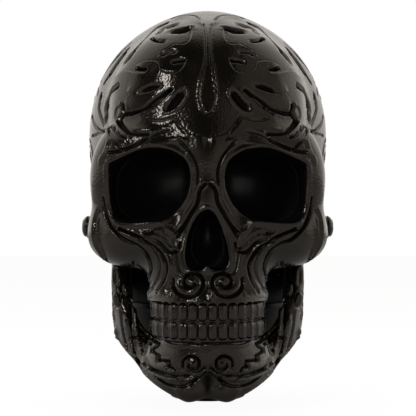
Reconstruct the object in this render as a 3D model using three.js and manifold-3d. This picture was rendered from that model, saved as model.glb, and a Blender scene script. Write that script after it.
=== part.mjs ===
// A glossy black skull ornament: a hollow head in two shells with socket cups behind its eyes and
// nose, bonded rows of teeth, a jaw that swings on two pins, and an oval stand hidden behind the jaw.
// Millimetres, +Z up, the face looks towards -Y, and the skull's own left is +X. Heights here start
// at the chin, and the stand reaches a little lower. The exported group stands on its own origin.
import * as THREE from "three";
import { mergeVertices } from "three/addons/utils/BufferGeometryUtils.js";
import Module from "manifold-3d";

const wasm = await Module();
wasm.setup();

// Driving sizes
const headWidth = 127; // across the braincase
const headLength = 168; // front teeth to back of head
const headHeight = 200; // chin to crown
const lift = 6; // how far the stand reaches below the chin, so that the jaw can open on a shelf
const wall = 3; // moulded wall of the hollow shells
const clearance = 0.3; // gap between pieces that meet
const blend = 5; // how softly one mass of bone runs into the next
const overrun = 4; // how far a cutter runs past what it cuts
const weld = 0.001; // points closer than this are one point

const eyeWidth = 41;
const eyeHeight = 37;
const eyeSpacing = 58; // centre to centre
const eyeDepth = 33;
const cupWall = 2;
const cupSetback = 10; // from the middle of the socket's mouth back to the rim of its cup
const collarDepth = 6; // how far the shell wraps each cup

const noseWidth = 22;
const noseHeight = 31;
const noseDepth = 24;

const toothHeight = 9.5;
const toothThickness = 6.5;
const toothCount = 16; // in each row
const archWidth = 59; // across the back teeth
const archDepth = 46; // front teeth to back teeth
const gumBulge = 1.5; // how far the jaw stands out past its teeth
const gumThickness = 9.5; // solid bone above the upper teeth
const tenonHeight = 2.5; // the ridge that keys a row of teeth into its bone
const tenonThickness = 2.5;

const jawThickness = 10; // the body of the jaw
const ramusThickness = 9; // the upright plate of jaw beside the pivot
const eyeletRadius = 8.5; // rounded top of that plate, around the pin
const jawSwing = 5; // degrees that the jaw opens

const pinRadius = 2.5;
const pinHeadRadius = 4.5;
const pinHeadHeight = 2;
const pinGrip = 6; // length of pin held in the inner wall
const washerRadius = 6;
const washerThickness = 0.8;
const knobRadius = 7;
const knobHeight = 9;

const lapDepth = 4; // overlap of the two shells at their parting line

const carveWidth = 2.8; // the carved lines of the ornament
const carveDepth = 1.6;
const carveFloorShare = 0.6; // width of a line's floor over its mouth
const carveStride = 9; // longest straight run of a carved line

const standWidth = 87; // at the top
const footWidth = 40; // at the shelf
const standLength = 70;
const padThickness = 2;
const plateThickness = 4;
const ballastHeight = 18;
const screwRadius = 1.5;
const screwHeadRadius = 2.8;
const screwHeadHeight = 2;
const screwLength = 10;
const postRadius = 4.5;

// Places that follow the head, as shares of its width, length and height
const at = (shares) =>
  new THREE.Vector3(shares[0] * headWidth, shares[1] * headLength, shares[2] * headHeight);

// Each mass of bone: its centre, then its half sizes. A mass off the middle has a twin.
const massShares = [
  [[0, 0.083, 0.632], [0.484, 0.417, 0.368]], // braincase
  [[0.195, 0.119, 0.7], [0.268, 0.262, 0.222]], // side of the crown
  [[0, -0.131, 0.7], [0.362, 0.286, 0.25]], // forehead
  [[0.157, -0.202, 0.75], [0.205, 0.179, 0.15]], // forehead boss
  [[0.205, -0.352, 0.628], [0.175, 0.083, 0.045]], // brow ridge
  [[0, -0.369, 0.6], [0.11, 0.083, 0.06]], // between the brows
  [[0.37, -0.292, 0.56], [0.074, 0.075, 0.09]], // outer edge of the socket
  [[0.34, -0.2, 0.53], [0.09, 0.11, 0.09]], // temple
  [[0.24, -0.3, 0.53], [0.15, 0.075, 0.105]], // where the socket is cut
  [[0.325, -0.27, 0.4], [0.112, 0.101, 0.066]], // cheekbone
  [[0.418, -0.107, 0.407], [0.05, 0.19, 0.046]], // cheek arch
  [[0, -0.298, 0.34], [0.22, 0.167, 0.11]], // upper jaw
  [[0, -0.286, 0.25], [0.23, 0.206, 0.05]], // gum of the upper teeth
  [[0, -0.393, 0.49], [0.087, 0.077, 0.08]], // bridge of the nose
  [[0.195, -0.345, 0.42], [0.142, 0.083, 0.05]], // under the socket
  [[0.3, 0.155, 0.34], [0.085, 0.095, 0.13]], // behind the ear
  [[0, 0.286, 0.42], [0.315, 0.19, 0.15]], // nape
  [[0, 0.119, 0.31], [0.365, 0.265, 0.16]], // base of the head
];
const reachCentre = at([0, 0.03, 0.525]); // rays that find the head's surface start here
const eyeCentre = at([0, -0.33, 0.53]).setX(eyeSpacing / 2);
const noseFloor = at([0, -0.43, 0.322]);
const pivot = at([0, -0.03, 0.425]);
const standCentre = at([0, 0.13, 0]);
const biteLevel = at([0, 0, 0.1975]).z;
const archFront = at([0, -0.488, 0]).y;
const ramusOuter = at([0.394, 0, 0]).x;
const cheekOuter = at([0.52, 0, 0]).x;
const baseLevel = at([0, 0, 0.225]).z; // flat underside of the head, on the stand

// Places that follow from the sizes
const gumLevel = biteLevel + toothHeight + clearance / 2; // underside of the upper jaw
const jawTopLevel = biteLevel - toothHeight - clearance / 2; // top of the lower jaw's body
const archMiddle = archFront + archDepth; // where the arch of teeth is widest
const ramusInner = ramusOuter - ramusThickness;
const sideRoom = washerThickness + 2 * clearance;
const pocketInner = ramusInner - sideRoom;
const pocketOuter = ramusOuter + sideRoom;
const pocketFront = pivot.y - 3.5 * eyeletRadius;
const swing = THREE.MathUtils.degToRad(jawSwing);
const swingRoom = Math.sin(swing) * (pivot.z - baseLevel) + 2 * clearance;
const pocketRear = pivot.y + eyeletRadius + swingRoom;
const pinSeat = pocketOuter + wall;
const partingY = pocketRear + wall + lapDepth + clearance;
const standTop = baseLevel - clearance;
const padTop = padThickness - lift;
const standFoot = padTop + clearance;
const plateTop = standFoot + plateThickness;
const ballastTop = plateTop + clearance + ballastHeight;
const far = 2 * (headWidth + headLength + headHeight);

// Materials
const gloss = (color) => new THREE.MeshStandardMaterial({ color, roughness: 0.18, metalness: 0 });
const shellBlack = gloss(0x0b0a09);
const toothBlack = gloss(0x100f0d);
const knobBlack = gloss(0x0d0c0b);
const socketBlack = new THREE.MeshStandardMaterial({ color: 0x040404, roughness: 0.45 });
const standBlack = new THREE.MeshStandardMaterial({ color: 0x0a0a0a, roughness: 0.4 });
const steel = new THREE.MeshStandardMaterial({ color: 0x8d9094, roughness: 0.35, metalness: 1 });
const iron = new THREE.MeshStandardMaterial({ color: 0x3a3a3c, roughness: 0.7, metalness: 0.8 });
const rubber = new THREE.MeshStandardMaterial({ color: 0x151515, roughness: 0.9 });
const nylon = new THREE.MeshStandardMaterial({ color: 0xcfccc2, roughness: 0.6 });

// A closed geometry as a solid that can be cut and joined
function solid(geometry) {
  const bare = geometry.clone();
  bare.deleteAttribute("normal");
  bare.deleteAttribute("uv");
  const merged = mergeVertices(bare, weld);
  return new wasm.Manifold(
    new wasm.Mesh({
      numProp: 3,
      vertProperties: merged.attributes.position.array,
      triVerts: new Uint32Array(merged.index.array),
    }),
  );
}

function geometryOf(manifold) {
  const mesh = manifold.getMesh();
  const positions = new Float32Array(mesh.numVert * 3);
  for (let i = 0; i < mesh.numVert; i++) {
    positions.set(mesh.vertProperties.subarray(i * mesh.numProp, i * mesh.numProp + 3), i * 3);
  }
  const geometry = new THREE.BufferGeometry();
  geometry.setAttribute("position", new THREE.BufferAttribute(positions, 3));
  geometry.setIndex(new THREE.BufferAttribute(mesh.triVerts, 1));
  geometry.computeVertexNormals();
  return geometry;
}

// Moves every vertex of a geometry by a rule and returns it as a solid
function shaped(geometry, rule) {
  const position = geometry.attributes.position;
  const v = new THREE.Vector3();
  for (let i = 0; i < position.count; i++) {
    v.fromBufferAttribute(position, i);
    rule(v);
    position.setXYZ(i, v.x, v.y, v.z);
  }
  return solid(geometry);
}

function block(low, high) {
  const size = high.clone().sub(low);
  const box = new THREE.BoxGeometry(size.x, size.y, size.z);
  const middle = low.clone().add(high).multiplyScalar(0.5);
  box.translate(middle.x, middle.y, middle.z);
  return solid(box);
}

const below = (z) => block(new THREE.Vector3(-far, -far, -far), new THREE.Vector3(far, far, z));
const inFrontOf = (y) => block(new THREE.Vector3(-far, -far, -far), new THREE.Vector3(far, y, far));

// A round bar along X or along Z, between two places on that axis
function barX(radius, from, to, place, sides = 20) {
  const cylinder = new THREE.CylinderGeometry(radius, radius, to - from, sides);
  cylinder.rotateZ(Math.PI / 2);
  cylinder.translate((from + to) / 2, place.y, place.z);
  return solid(cylinder);
}

function barZ(radius, from, to, place, sides = 16) {
  const cylinder = new THREE.CylinderGeometry(radius, radius, to - from, sides);
  cylinder.rotateX(Math.PI / 2);
  cylinder.translate(place.x, place.y, (from + to) / 2);
  return solid(cylinder);
}

const twin = (manifold) => manifold.mirror([1, 0, 0]);
const bothSides = (manifold) => manifold.add(twin(manifold));
const joined = (manifolds) => manifolds.reduce((all, one) => all.add(one));

// The head's surface
const masses = massShares.flatMap(([centre, half]) => {
  const mass = { centre: at(centre), half: at(half) };
  const other = { centre: mass.centre.clone().setX(-mass.centre.x), half: mass.half };
  return centre[0] === 0 ? [mass] : [mass, other];
});

// About how far a point lies outside the bone, and below zero inside it
function outside(point) {
  let sum = 0;
  for (const { centre, half } of masses) {
    const unit = point.clone().sub(centre).divide(half);
    const reach = unit.length();
    const slope = unit.divide(half).length();
    const distance = slope > 0 ? (reach * (reach - 1)) / slope : -half.x;
    sum += Math.exp(-distance / blend);
  }
  return -blend * Math.log(sum);
}

// Where a ray from the middle of the head leaves the bone, at a depth under its surface
function surfacePoint(direction, depth) {
  const strides = 80;
  const halvings = 14;
  const along = (length) => direction.clone().multiplyScalar(length).add(reachCentre);
  let inner = 0;
  let outer = headHeight;
  for (let i = strides; i >= 0; i--) {
    inner = (headHeight * i) / strides;
    if (outside(along(inner)) < -depth) break;
    outer = inner;
  }
  for (let i = 0; i < halvings; i++) {
    const middle = (inner + outer) / 2;
    if (outside(along(middle)) < -depth) inner = middle;
    else outer = middle;
  }
  return along(inner);
}

const outerFacets = { around: 44, rings: 32 };
const innerFacets = { around: 28, rings: 20 };
function headForm(depth, { around, rings }) {
  const ball = new THREE.SphereGeometry(1, around, rings);
  return shaped(ball, (v) => v.copy(surfacePoint(v.clone().normalize(), depth)));
}

// The main lines of the ornament, on the skull's left half with a twin on its right. Places are
// shares of the head's sizes: front and back (across, up), side (back, up), top (across, back).
// No line runs over the overlap of the two shells.
const frontLineShares = {
  teardrop: [[0.021, 0.87], [0.032, 0.797], [0.038, 0.757], [0.016, 0.716]],
  innerCrownSlot: [[0.133, 0.918], [0.105, 0.919], [0.072, 0.926]],
  outerCrownSlot: [[0.22, 0.896], [0.193, 0.91], [0.141, 0.928]],
  crownPlate: [[0.064, 0.904], [0.093, 0.882], [0.144, 0.877], [0.19, 0.857]],
  shortSlot: [[0.145, 0.84], [0.093, 0.845]],
  upperBand: [[0.21, 0.918], [0.235, 0.907], [0.282, 0.88], [0.322, 0.844]],
  lowerBand: [[0.33, 0.86], [0.357, 0.83], [0.4, 0.79]],
  outerLeaf: [[0.284, 0.761], [0.251, 0.77], [0.174, 0.783]],
  innerLeaf: [[0.099, 0.773], [0.121, 0.755], [0.17, 0.721]],
  slant: [[0.144, 0.771], [0.204, 0.746], [0.255, 0.721], [0.31, 0.71]],
  templeSlot: [[0.351, 0.781], [0.385, 0.757], [0.396, 0.725], [0.398, 0.705]],
  curl: [[0.345, 0.695], [0.326, 0.673], [0.239, 0.661]],
  disc: [[0.129, 0.7], [0.085, 0.666], [0.02, 0.652]],
  brow: [[0.156, 0.667], [0.231, 0.652], [0.31, 0.625], [0.375, 0.615]],
  bridge: [[0.113, 0.645], [0.078, 0.62], [0.042, 0.565]],
  cheekSweep: [[0.361, 0.424], [0.29, 0.405], [0.239, 0.38], [0.219, 0.32], [0.237, 0.295]],
  underSocket: [[0.247, 0.413], [0.192, 0.387], [0.125, 0.372]],
  lipSpiral: [[0.13, 0.282], [0.1, 0.302], [0.06, 0.3]],
};
const sideLineShares = {
  templeSweep: [[-0.165, 0.76], [-0.034, 0.79], [0.04, 0.787]],
  rearSweep: [[0.14, 0.755], [0.24, 0.7], [0.347, 0.6], [0.383, 0.51]],
  scroll: [[-0.225, 0.63], [-0.13, 0.66], [-0.02, 0.65], [0.045, 0.61], [0.04, 0.55], [-0.03, 0.53]],
  frontSlot: [[-0.12, 0.84], [-0.05, 0.865], [0.04, 0.87]],
  middleSlot: [[0.14, 0.85], [0.185, 0.82], [0.225, 0.79]],
  rearSlot: [[0.285, 0.74], [0.34, 0.68], [0.375, 0.62]],
};
const topLineShares = {
  frontCrown: [[0.022, -0.25], [0.02, 0.04]],
  rearCrown: [[0.02, 0.14], [0.022, 0.36]],
  frontSlot: [[0.11, -0.18], [0.142, -0.1], [0.142, -0.02]],
  middleSlot: [[0.22, -0.1], [0.25, -0.03], [0.25, 0.04]],
  rearSlot: [[0.11, 0.14], [0.15, 0.19], [0.14, 0.25]],
};
const backLineShares = {
  teardrop: [[0.02, 0.9], [0.026, 0.82], [0.055, 0.71], [0.079, 0.63], [0.05, 0.57]],
  scroll: [[0.11, 0.5], [0.19, 0.52], [0.28, 0.58], [0.34, 0.65], [0.28, 0.71], [0.21, 0.67]],
  slot: [[0.126, 0.86], [0.19, 0.83], [0.236, 0.79]],
  lowSweep: [[0.02, 0.43], [0.11, 0.44], [0.22, 0.42], [0.3, 0.37]],
};

// Each view places a share on a plane beyond the head, and looks along a direction
const carvedViews = [
  [frontLineShares, ([across, up]) => at([across, -1, up]), new THREE.Vector3(0, 1, 0)],
  [sideLineShares, ([back, up]) => at([1, back, up]), new THREE.Vector3(-1, 0, 0)],
  [topLineShares, ([across, back]) => at([across, back, 1.5]), new THREE.Vector3(0, 0, -1)],
  [backLineShares, ([across, up]) => at([across, 1, up]), new THREE.Vector3(0, -1, 0)],
];

// Where a ray meets the bone, or passes closest to it
function struck(start, direction) {
  const strides = 400;
  const along = (length) => direction.clone().multiplyScalar(length).add(start);
  const longest = 2 * headLength;
  let nearest = 0;
  let least = Infinity;
  for (let i = 0; i <= strides && least > 0; i++) {
    const length = (longest * i) / strides;
    const gap = outside(along(length));
    if (gap < least) {
      least = gap;
      nearest = length;
    }
  }
  return along(nearest);
}

// Away from the bone at a point near its surface
function awayFromBone(point) {
  const nudge = weld * headLength;
  const slope = (axis) =>
    outside(point.clone().addScaledVector(axis, nudge)) -
    outside(point.clone().addScaledVector(axis, -nudge));
  const [x, y, z] = [new THREE.Vector3(1, 0, 0), new THREE.Vector3(0, 1, 0), new THREE.Vector3(0, 0, 1)];
  return new THREE.Vector3(slope(x), slope(y), slope(z)).normalize();
}

// The solid that is cut away along a line of the ornament. It narrows towards its floor.
function carvedLine(places, start, direction) {
  const flat = places.map((place) => start(place));
  const curve = new THREE.CatmullRomCurve3(flat);
  const runs = Math.max(2, Math.ceil(curve.getLength() / carveStride));
  const stations = curve.getSpacedPoints(runs).map((place) => struck(place, direction));
  const run = new THREE.CatmullRomCurve3(stations);
  const box = new THREE.BoxGeometry(1, 1, 1, runs, 1, 1);
  return shaped(box, (v) => {
    const station = Math.round((v.x + 0.5) * runs);
    const away = awayFromBone(stations[station]);
    const across = away.clone().cross(run.getTangent(station / runs)).normalize();
    const spread = Math.sign(v.y) * (v.z < 0 ? carveFloorShare : 1) * (carveWidth / 2);
    const height = v.z < 0 ? -carveDepth : overrun;
    v.copy(stations[station]).addScaledVector(across, spread).addScaledVector(away, height);
  });
}

const ornament = () =>
  carvedViews.flatMap(([lines, start, direction]) =>
    Object.values(lines).map((places) => carvedLine(places, start, direction)),
  );

// Eye sockets and nose. An eye socket is a rounded square seen from the front, which narrows
// inwards and turns towards the middle, and its outer corner hangs.
const squareness = 0.8;
const eyeDroop = 0.1;
const eyeTurn = 0.3;
function eyeBowl(grow) {
  const ball = new THREE.SphereGeometry(1, 20, 12);
  const rounded = (c) => Math.sign(c) * Math.abs(c) ** squareness;
  return shaped(ball, (v) => {
    const inward = Math.max(v.y, 0);
    const across = rounded(v.x) * (eyeWidth / 2 + grow);
    const up = rounded(v.z) * (eyeHeight / 2 + grow);
    v.x = eyeCentre.x + across - inward * eyeDepth * eyeTurn;
    v.y = eyeCentre.y + v.y * (eyeDepth + grow);
    v.z = eyeCentre.z + up - across * eyeDroop;
  });
}

// The nose is a pear seen from the front
const noseTopShare = 0.4; // the width of its top over that of its floor
function noseBowl(grow) {
  const ball = new THREE.SphereGeometry(1, 16, 10);
  return shaped(ball, (v) => {
    const rise = (v.z + 1) / 2;
    v.x *= (noseWidth / 2) * THREE.MathUtils.lerp(1, noseTopShare, rise ** 1.3) + grow;
    v.y = noseFloor.y + v.y * (noseDepth + grow);
    v.z = noseFloor.z + noseHeight / 2 + v.z * (noseHeight / 2 + grow);
  });
}

// Each bowl's cup lies behind a flat rim, and a collar of the shell wraps its front
const eyeRim = eyeCentre.y + cupSetback;
const noseRim = noseFloor.y + cupSetback;
const cup = (bowl, rim) => bowl(cupWall).subtract(bowl(0)).subtract(inFrontOf(rim));
const seat = (bowl, rim) =>
  bowl(0).add(bowl(cupWall + clearance).subtract(inFrontOf(rim - clearance)));
const collar = (bowl, rim) =>
  bowl(cupWall + clearance + wall).intersect(inFrontOf(rim + collarDepth));
const leftCup = cup(eyeBowl, eyeRim);
const noseCup = cup(noseBowl, noseRim);

// Rows of teeth. A place on the dental arch, at a depth behind the face of the teeth:
const archPoint = (turn, inset) =>
  new THREE.Vector2(
    Math.sin(turn) * (archWidth / 2 - inset),
    archMiddle - Math.cos(turn) * (archDepth - inset),
  );

// A horseshoe band between two such depths
function archBand(outer, inner, low, high) {
  const box = new THREE.BoxGeometry(1, 1, 1, 20, 1, 1);
  return shaped(box, (v) => {
    const place = archPoint(v.x * Math.PI, v.y < 0 ? outer : inner);
    v.set(place.x, place.y, v.z < 0 ? low : high);
  });
}

const toothMiddle = toothThickness / 2;
const bandShare = 0.3; // half the thickness of the band behind the teeth, over a tooth's
const tenonBand = (slack, low, high) =>
  archBand(
    toothMiddle - tenonThickness / 2 - slack,
    toothMiddle + tenonThickness / 2 + slack,
    low,
    high,
  );

// Front teeth are wide and flat, and back teeth are round
function teethRow(low, high, tenonLow, tenonHigh) {
  const band = bandShare * toothThickness;
  const pieces = [
    archBand(toothMiddle - band, toothMiddle + band, low, high),
    tenonBand(0, tenonLow, tenonHigh),
  ];
  const pitch = Math.PI / (toothCount + 0.5);
  for (let i = 0; i < toothCount; i++) {
    const turn = (i - (toothCount - 1) / 2) * pitch;
    const place = archPoint(turn, toothMiddle);
    const width = archPoint(turn - pitch / 2, 0).distanceTo(archPoint(turn + pitch / 2, 0));
    const crown = new THREE.CylinderGeometry(0.5, 0.5, high - low, 8);
    crown.rotateY(Math.PI / 8);
    crown.rotateX(Math.PI / 2);
    crown.scale(width, toothThickness, 1);
    crown.rotateZ(turn);
    crown.translate(place.x, place.y, (low + high) / 2);
    pieces.push(solid(crown));
  }
  return joined(pieces);
}

const upperTeeth = teethRow(
  biteLevel + clearance / 2,
  gumLevel - clearance,
  gumLevel - 2 * clearance,
  gumLevel + tenonHeight - clearance,
);
const lowerTeeth = teethRow(
  jawTopLevel + clearance,
  biteLevel - clearance / 2,
  jawTopLevel - tenonHeight + clearance,
  jawTopLevel + 2 * clearance,
);

// The jaw is a strip between its lower and upper borders, from the chin to each pivot.
// Places on the lower border, then on the upper border beyond the teeth, chin to pivot:
const lowerBorderShares = [
  [0, -0.48, 0.01],
  [0.09, -0.474, 0.003],
  [0.15, -0.446, 0.014],
  [0.204, -0.4, 0.03],
  [0.251, -0.338, 0.049],
  [0.287, -0.262, 0.072],
  [0.324, -0.18, 0.096],
  [0.366, -0.1, 0.118],
  [0.39, -0.036, 0.15],
  [0.394, 0, 0.21],
  [0.394, 0.018, 0.28],
  [0.394, 0.018, 0.352],
];
const upperBorderShares = [
  [0.307, -0.214, 0.165],
  [0.352, -0.19, 0.21],
  [0.381, -0.167, 0.26],
  [0.394, -0.143, 0.305],
  [0.394, -0.107, 0.365],
  [0.394, -0.075, 0.412],
];
const gumTurns = [0, 0.24, 0.46, 0.66, 0.84, 0.98].map((share) => (share * Math.PI) / 2);
const bodyStations = gumTurns.length;
const lowerBorder = lowerBorderShares.map(at);
const upperBorder = [
  ...gumTurns.map((turn) => {
    const place = archPoint(turn, -gumBulge);
    return new THREE.Vector3(place.x, place.y, jawTopLevel);
  }),
  ...upperBorderShares.map(at),
];

function jawStrip() {
  const mirrored = (p) => new THREE.Vector3(-p.x, p.y, p.z);
  const whole = (border) => [...border.slice(1).reverse().map(mirrored), ...border];
  const low = new THREE.CatmullRomCurve3(whole(lowerBorder));
  const high = new THREE.CatmullRomCurve3(whole(upperBorder));
  const last = lowerBorder.length - 1;
  const box = new THREE.BoxGeometry(1, 1, 1, 4 * last, 1, 3);
  return shaped(box, (v) => {
    const t = v.x + 0.5;
    const station = Math.abs(2 * v.x) * last;
    const upright = THREE.MathUtils.smoothstep(station, bodyStations - 2, bodyStations + 1);
    const thickness = THREE.MathUtils.lerp(jawThickness, ramusThickness, upright);
    const rise = v.z + 0.5;
    const depth = v.y < 0 ? 0 : thickness;
    const side = new THREE.Vector3(-Math.sign(v.x), 0, 0);
    const run = low.getTangent(t).lerp(high.getTangent(t), rise).setZ(0);
    const sideways = new THREE.Vector3(0, 0, 1).cross(run).normalize();
    sideways.lerp(side, upright).normalize();
    v.copy(low.getPoint(t).lerp(high.getPoint(t), rise)).addScaledVector(sideways, depth);
  });
}

const eyelet = barX(eyeletRadius, ramusInner, ramusOuter, pivot, 24);
const boreX = (radius, from, to) => bothSides(barX(radius, from, to, pivot, 16));
const lowerJaw = jawStrip()
  .add(bothSides(eyelet))
  .subtract(boreX(pinRadius + clearance, 0, cheekOuter))
  .subtract(tenonBand(clearance, jawTopLevel - tenonHeight, jawTopLevel + overrun));

// Pins, washers and knobs at the left pivot
const pinTip = pocketInner - pinGrip + clearance;
const pinHeadSeat = pinSeat + clearance;
const pin = barX(pinRadius, pinTip, pinHeadSeat + clearance, pivot, 16).add(
  barX(pinHeadRadius, pinHeadSeat, pinHeadSeat + pinHeadHeight, pivot, 16),
);
const washer = (from) =>
  barX(washerRadius, from, from + washerThickness, pivot, 16).subtract(
    barX(pinRadius + clearance, from - overrun, from + overrun, pivot, 16),
  );
const knobSeat = pinHeadSeat + pinHeadHeight + clearance;
const knobRing = barX(knobRadius, knobSeat, knobSeat + knobHeight / 2, pivot, 20);
const knobDome = shaped(new THREE.SphereGeometry(1, 20, 10), (v) => {
  v.x = knobSeat + knobHeight / 2 + (v.x * knobHeight) / 2;
  v.y = pivot.y + v.y * knobRadius;
  v.z = pivot.z + v.z * knobRadius;
});
const knob = knobRing.add(knobDome);

// The room that each jaw plate moves in, and the bone around it, which is left solid. Below the
// pin it is thicker on the inside, where the cheek arch stands off from the base of the head.
const pocketTop = pivot.z + eyeletRadius + 2 * clearance;
const jawPocket = block(
  new THREE.Vector3(pocketInner, pocketFront, 0),
  new THREE.Vector3(pocketOuter, pocketRear, pocketTop),
);
const boneBeside = (thickness, top) =>
  block(
    new THREE.Vector3(pocketInner - thickness, pocketFront - wall, 0),
    new THREE.Vector3(far, pocketRear + wall, top),
  );
const pocketBone = boneBeside(wall, pocketTop + wall).add(
  boneBeside(3 * wall, pivot.z - eyeletRadius),
);

// Screw places: four hold the stand to the head, two hold the plate to the stand
const towerInset = wall + postRadius + screwHeadRadius;
const sides = [
  { name: "left", sign: 1 },
  { name: "right", sign: -1 },
];
const ends = [
  { name: "front", sign: -1 },
  { name: "rear", sign: 1 },
];
const corners = sides.flatMap((side) =>
  ends.map((end) => ({
    name: `${side.name}_${end.name}`,
    x: (side.sign * standWidth) / 4,
    y: standCentre.y + (end.sign * standLength) / 4,
  })),
);
const middles = ends.map((end) => ({
  name: end.name,
  x: 0,
  y: standCentre.y + end.sign * (standLength / 2 - towerInset),
}));
const postTop = baseLevel + screwLength;
const posts = joined(corners.map((place) => barZ(postRadius, baseLevel, postTop, place)));
const screwHoles = (places, low, high) =>
  joined(places.map((place) => barZ(screwRadius + clearance, low, high, place, 12)));

function screw(place, headTop, tip) {
  const shank = barZ(screwRadius, headTop - clearance, tip, place, 10);
  return shank.add(barZ(screwHeadRadius, headTop - screwHeadHeight, headTop, place, 12));
}

// The two head shells
const cavity = headForm(wall, innerFacets)
  .subtract(below(baseLevel + wall))
  .subtract(below(gumLevel + gumThickness).intersect(inFrontOf(pocketFront + wall)))
  .subtract(bothSides(collar(eyeBowl, eyeRim)))
  .subtract(collar(noseBowl, noseRim))
  .subtract(bothSides(pocketBone))
  .subtract(
    bothSides(barX(pinHeadRadius + wall, pocketInner - pinGrip - wall, pocketInner, pivot)),
  )
  .subtract(posts);
const palate = shaped(new THREE.SphereGeometry(1, 16, 10), (v) => {
  const inset = toothThickness + wall;
  v.x *= archWidth / 2 - inset;
  v.y = archMiddle + v.y * (archDepth - inset);
  v.z = gumLevel + v.z * (gumThickness - wall);
}).intersect(inFrontOf(pocketFront));
const head = headForm(0, outerFacets)
  .subtract(bothSides(joined(ornament())))
  .subtract(below(gumLevel).intersect(inFrontOf(pocketFront)))
  .subtract(below(baseLevel))
  .subtract(cavity)
  .subtract(bothSides(jawPocket))
  .subtract(screwHoles(corners, 0, postTop - wall))
  .subtract(boreX(pinRadius + clearance, pocketInner - pinGrip, cheekOuter))
  .subtract(boreX(knobRadius + clearance, pinSeat, cheekOuter + 2 * knobHeight));
const lapForm = (slack) => headForm(wall / 2 + slack, innerFacets);
const faceShell = head
  .intersect(inFrontOf(partingY - clearance / 2))
  .subtract(lapForm(-clearance / 2).subtract(inFrontOf(partingY - lapDepth - clearance)))
  .subtract(bothSides(seat(eyeBowl, eyeRim)))
  .subtract(seat(noseBowl, noseRim))
  .subtract(tenonBand(clearance, gumLevel - overrun, gumLevel + tenonHeight))
  .subtract(palate);
const lip = head
  .intersect(lapForm(clearance / 2))
  .intersect(inFrontOf(partingY + lapDepth))
  .subtract(inFrontOf(partingY - lapDepth));
const rearShell = head.subtract(inFrontOf(partingY + clearance / 2)).add(lip);

// The stand: an oval neck with a closed top, a weight inside it, and a plate and a pad below.
// It flares upwards, most of all at its foot.
const standWidthAt = (z) => {
  const rise = THREE.MathUtils.mapLinear(z, -lift, standTop, 0, 1);
  return THREE.MathUtils.lerp(footWidth, standWidth, Math.sin((rise * Math.PI) / 2));
};
function oval(inset, low, high, rings = 1) {
  const tube = new THREE.CylinderGeometry(1, 1, 1, 28, rings);
  tube.rotateX(Math.PI / 2);
  return shaped(tube, (v) => {
    const z = THREE.MathUtils.lerp(low, high, v.z + 0.5);
    v.x = standCentre.x + v.x * (standWidthAt(z) / 2 - inset);
    v.y = standCentre.y + v.y * (standLength / 2 - inset);
    v.z = z;
  });
}
const towers = (slack, low) =>
  joined(middles.map((place) => barZ(postRadius + slack, low, standTop - wall / 2, place)));
const stand = oval(0, standFoot, standTop, 5)
  .subtract(oval(wall, standFoot - clearance, standTop - wall, 5))
  .add(towers(0, plateTop + clearance))
  .subtract(screwHoles(corners, standTop - wall - overrun, standTop + overrun))
  .subtract(screwHoles(middles, 0, plateTop + screwLength));
const counterboreTop = standFoot + screwHeadHeight + clearance;
const counterbores = joined(
  middles.map((place) =>
    barZ(screwHeadRadius + clearance, standFoot - overrun, counterboreTop, place),
  ),
);
const plate = oval(wall + clearance, standFoot, plateTop)
  .subtract(screwHoles(middles, standFoot, plateTop + overrun))
  .subtract(counterbores);
const ballast = oval(wall + clearance, plateTop + clearance, ballastTop, 2).subtract(
  towers(clearance, 0),
);
const pad = oval(0, -lift, padTop);

const parts = new THREE.Group();
function place(name, manifold, material) {
  const mesh = new THREE.Mesh(geometryOf(manifold), material);
  mesh.name = name;
  parts.add(mesh);
}

place("face_shell", faceShell, shellBlack);
place("rear_shell", rearShell, shellBlack);
place("nose_cup", noseCup, socketBlack);
place("upper_teeth", upperTeeth, toothBlack);
place("lower_jaw", lowerJaw, shellBlack);
place("lower_teeth", lowerTeeth, toothBlack);
for (const { name, sign } of sides) {
  const onSide = (manifold) => (sign > 0 ? manifold : twin(manifold));
  place(`${name}_socket_cup`, onSide(leftCup), socketBlack);
  place(`${name}_jaw_pin`, onSide(pin), steel);
  place(`${name}_inner_washer`, onSide(washer(pocketInner + clearance)), nylon);
  place(`${name}_outer_washer`, onSide(washer(ramusOuter + clearance)), nylon);
  place(`${name}_pivot_knob`, onSide(knob), knobBlack);
}
place("stand", stand, standBlack);
place("base_plate", plate, standBlack);
place("ballast_weight", ballast, iron);
place("base_pad", pad, rubber);
for (const corner of corners) {
  const headTop = standTop - wall - clearance;
  place(`stand_screw_${corner.name}`, screw(corner, headTop, postTop - wall - clearance), steel);
}
for (const middle of middles) {
  const tip = plateTop + screwLength - clearance;
  place(`plate_screw_${middle.name}`, screw(middle, counterboreTop - clearance, tip), steel);
}

// The footprint's middle goes to the origin
const box = new THREE.Box3().setFromObject(parts);
parts.position.set(-(box.min.x + box.max.x) / 2, -(box.min.y + box.max.y) / 2, -box.min.z);

export default parts;
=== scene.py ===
"""Looks for a gloss black skull ornament: carved head shells, jaw, teeth, knobs and stand, made
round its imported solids. Lengths are in millimetres, and those of the stage in metres."""

import math

import bmesh
import bpy
import numpy as np
from bpy.props import FloatProperty, FloatVectorProperty, IntProperty, PointerProperty
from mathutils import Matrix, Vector
from mathutils.bvhtree import BVHTree


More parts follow.
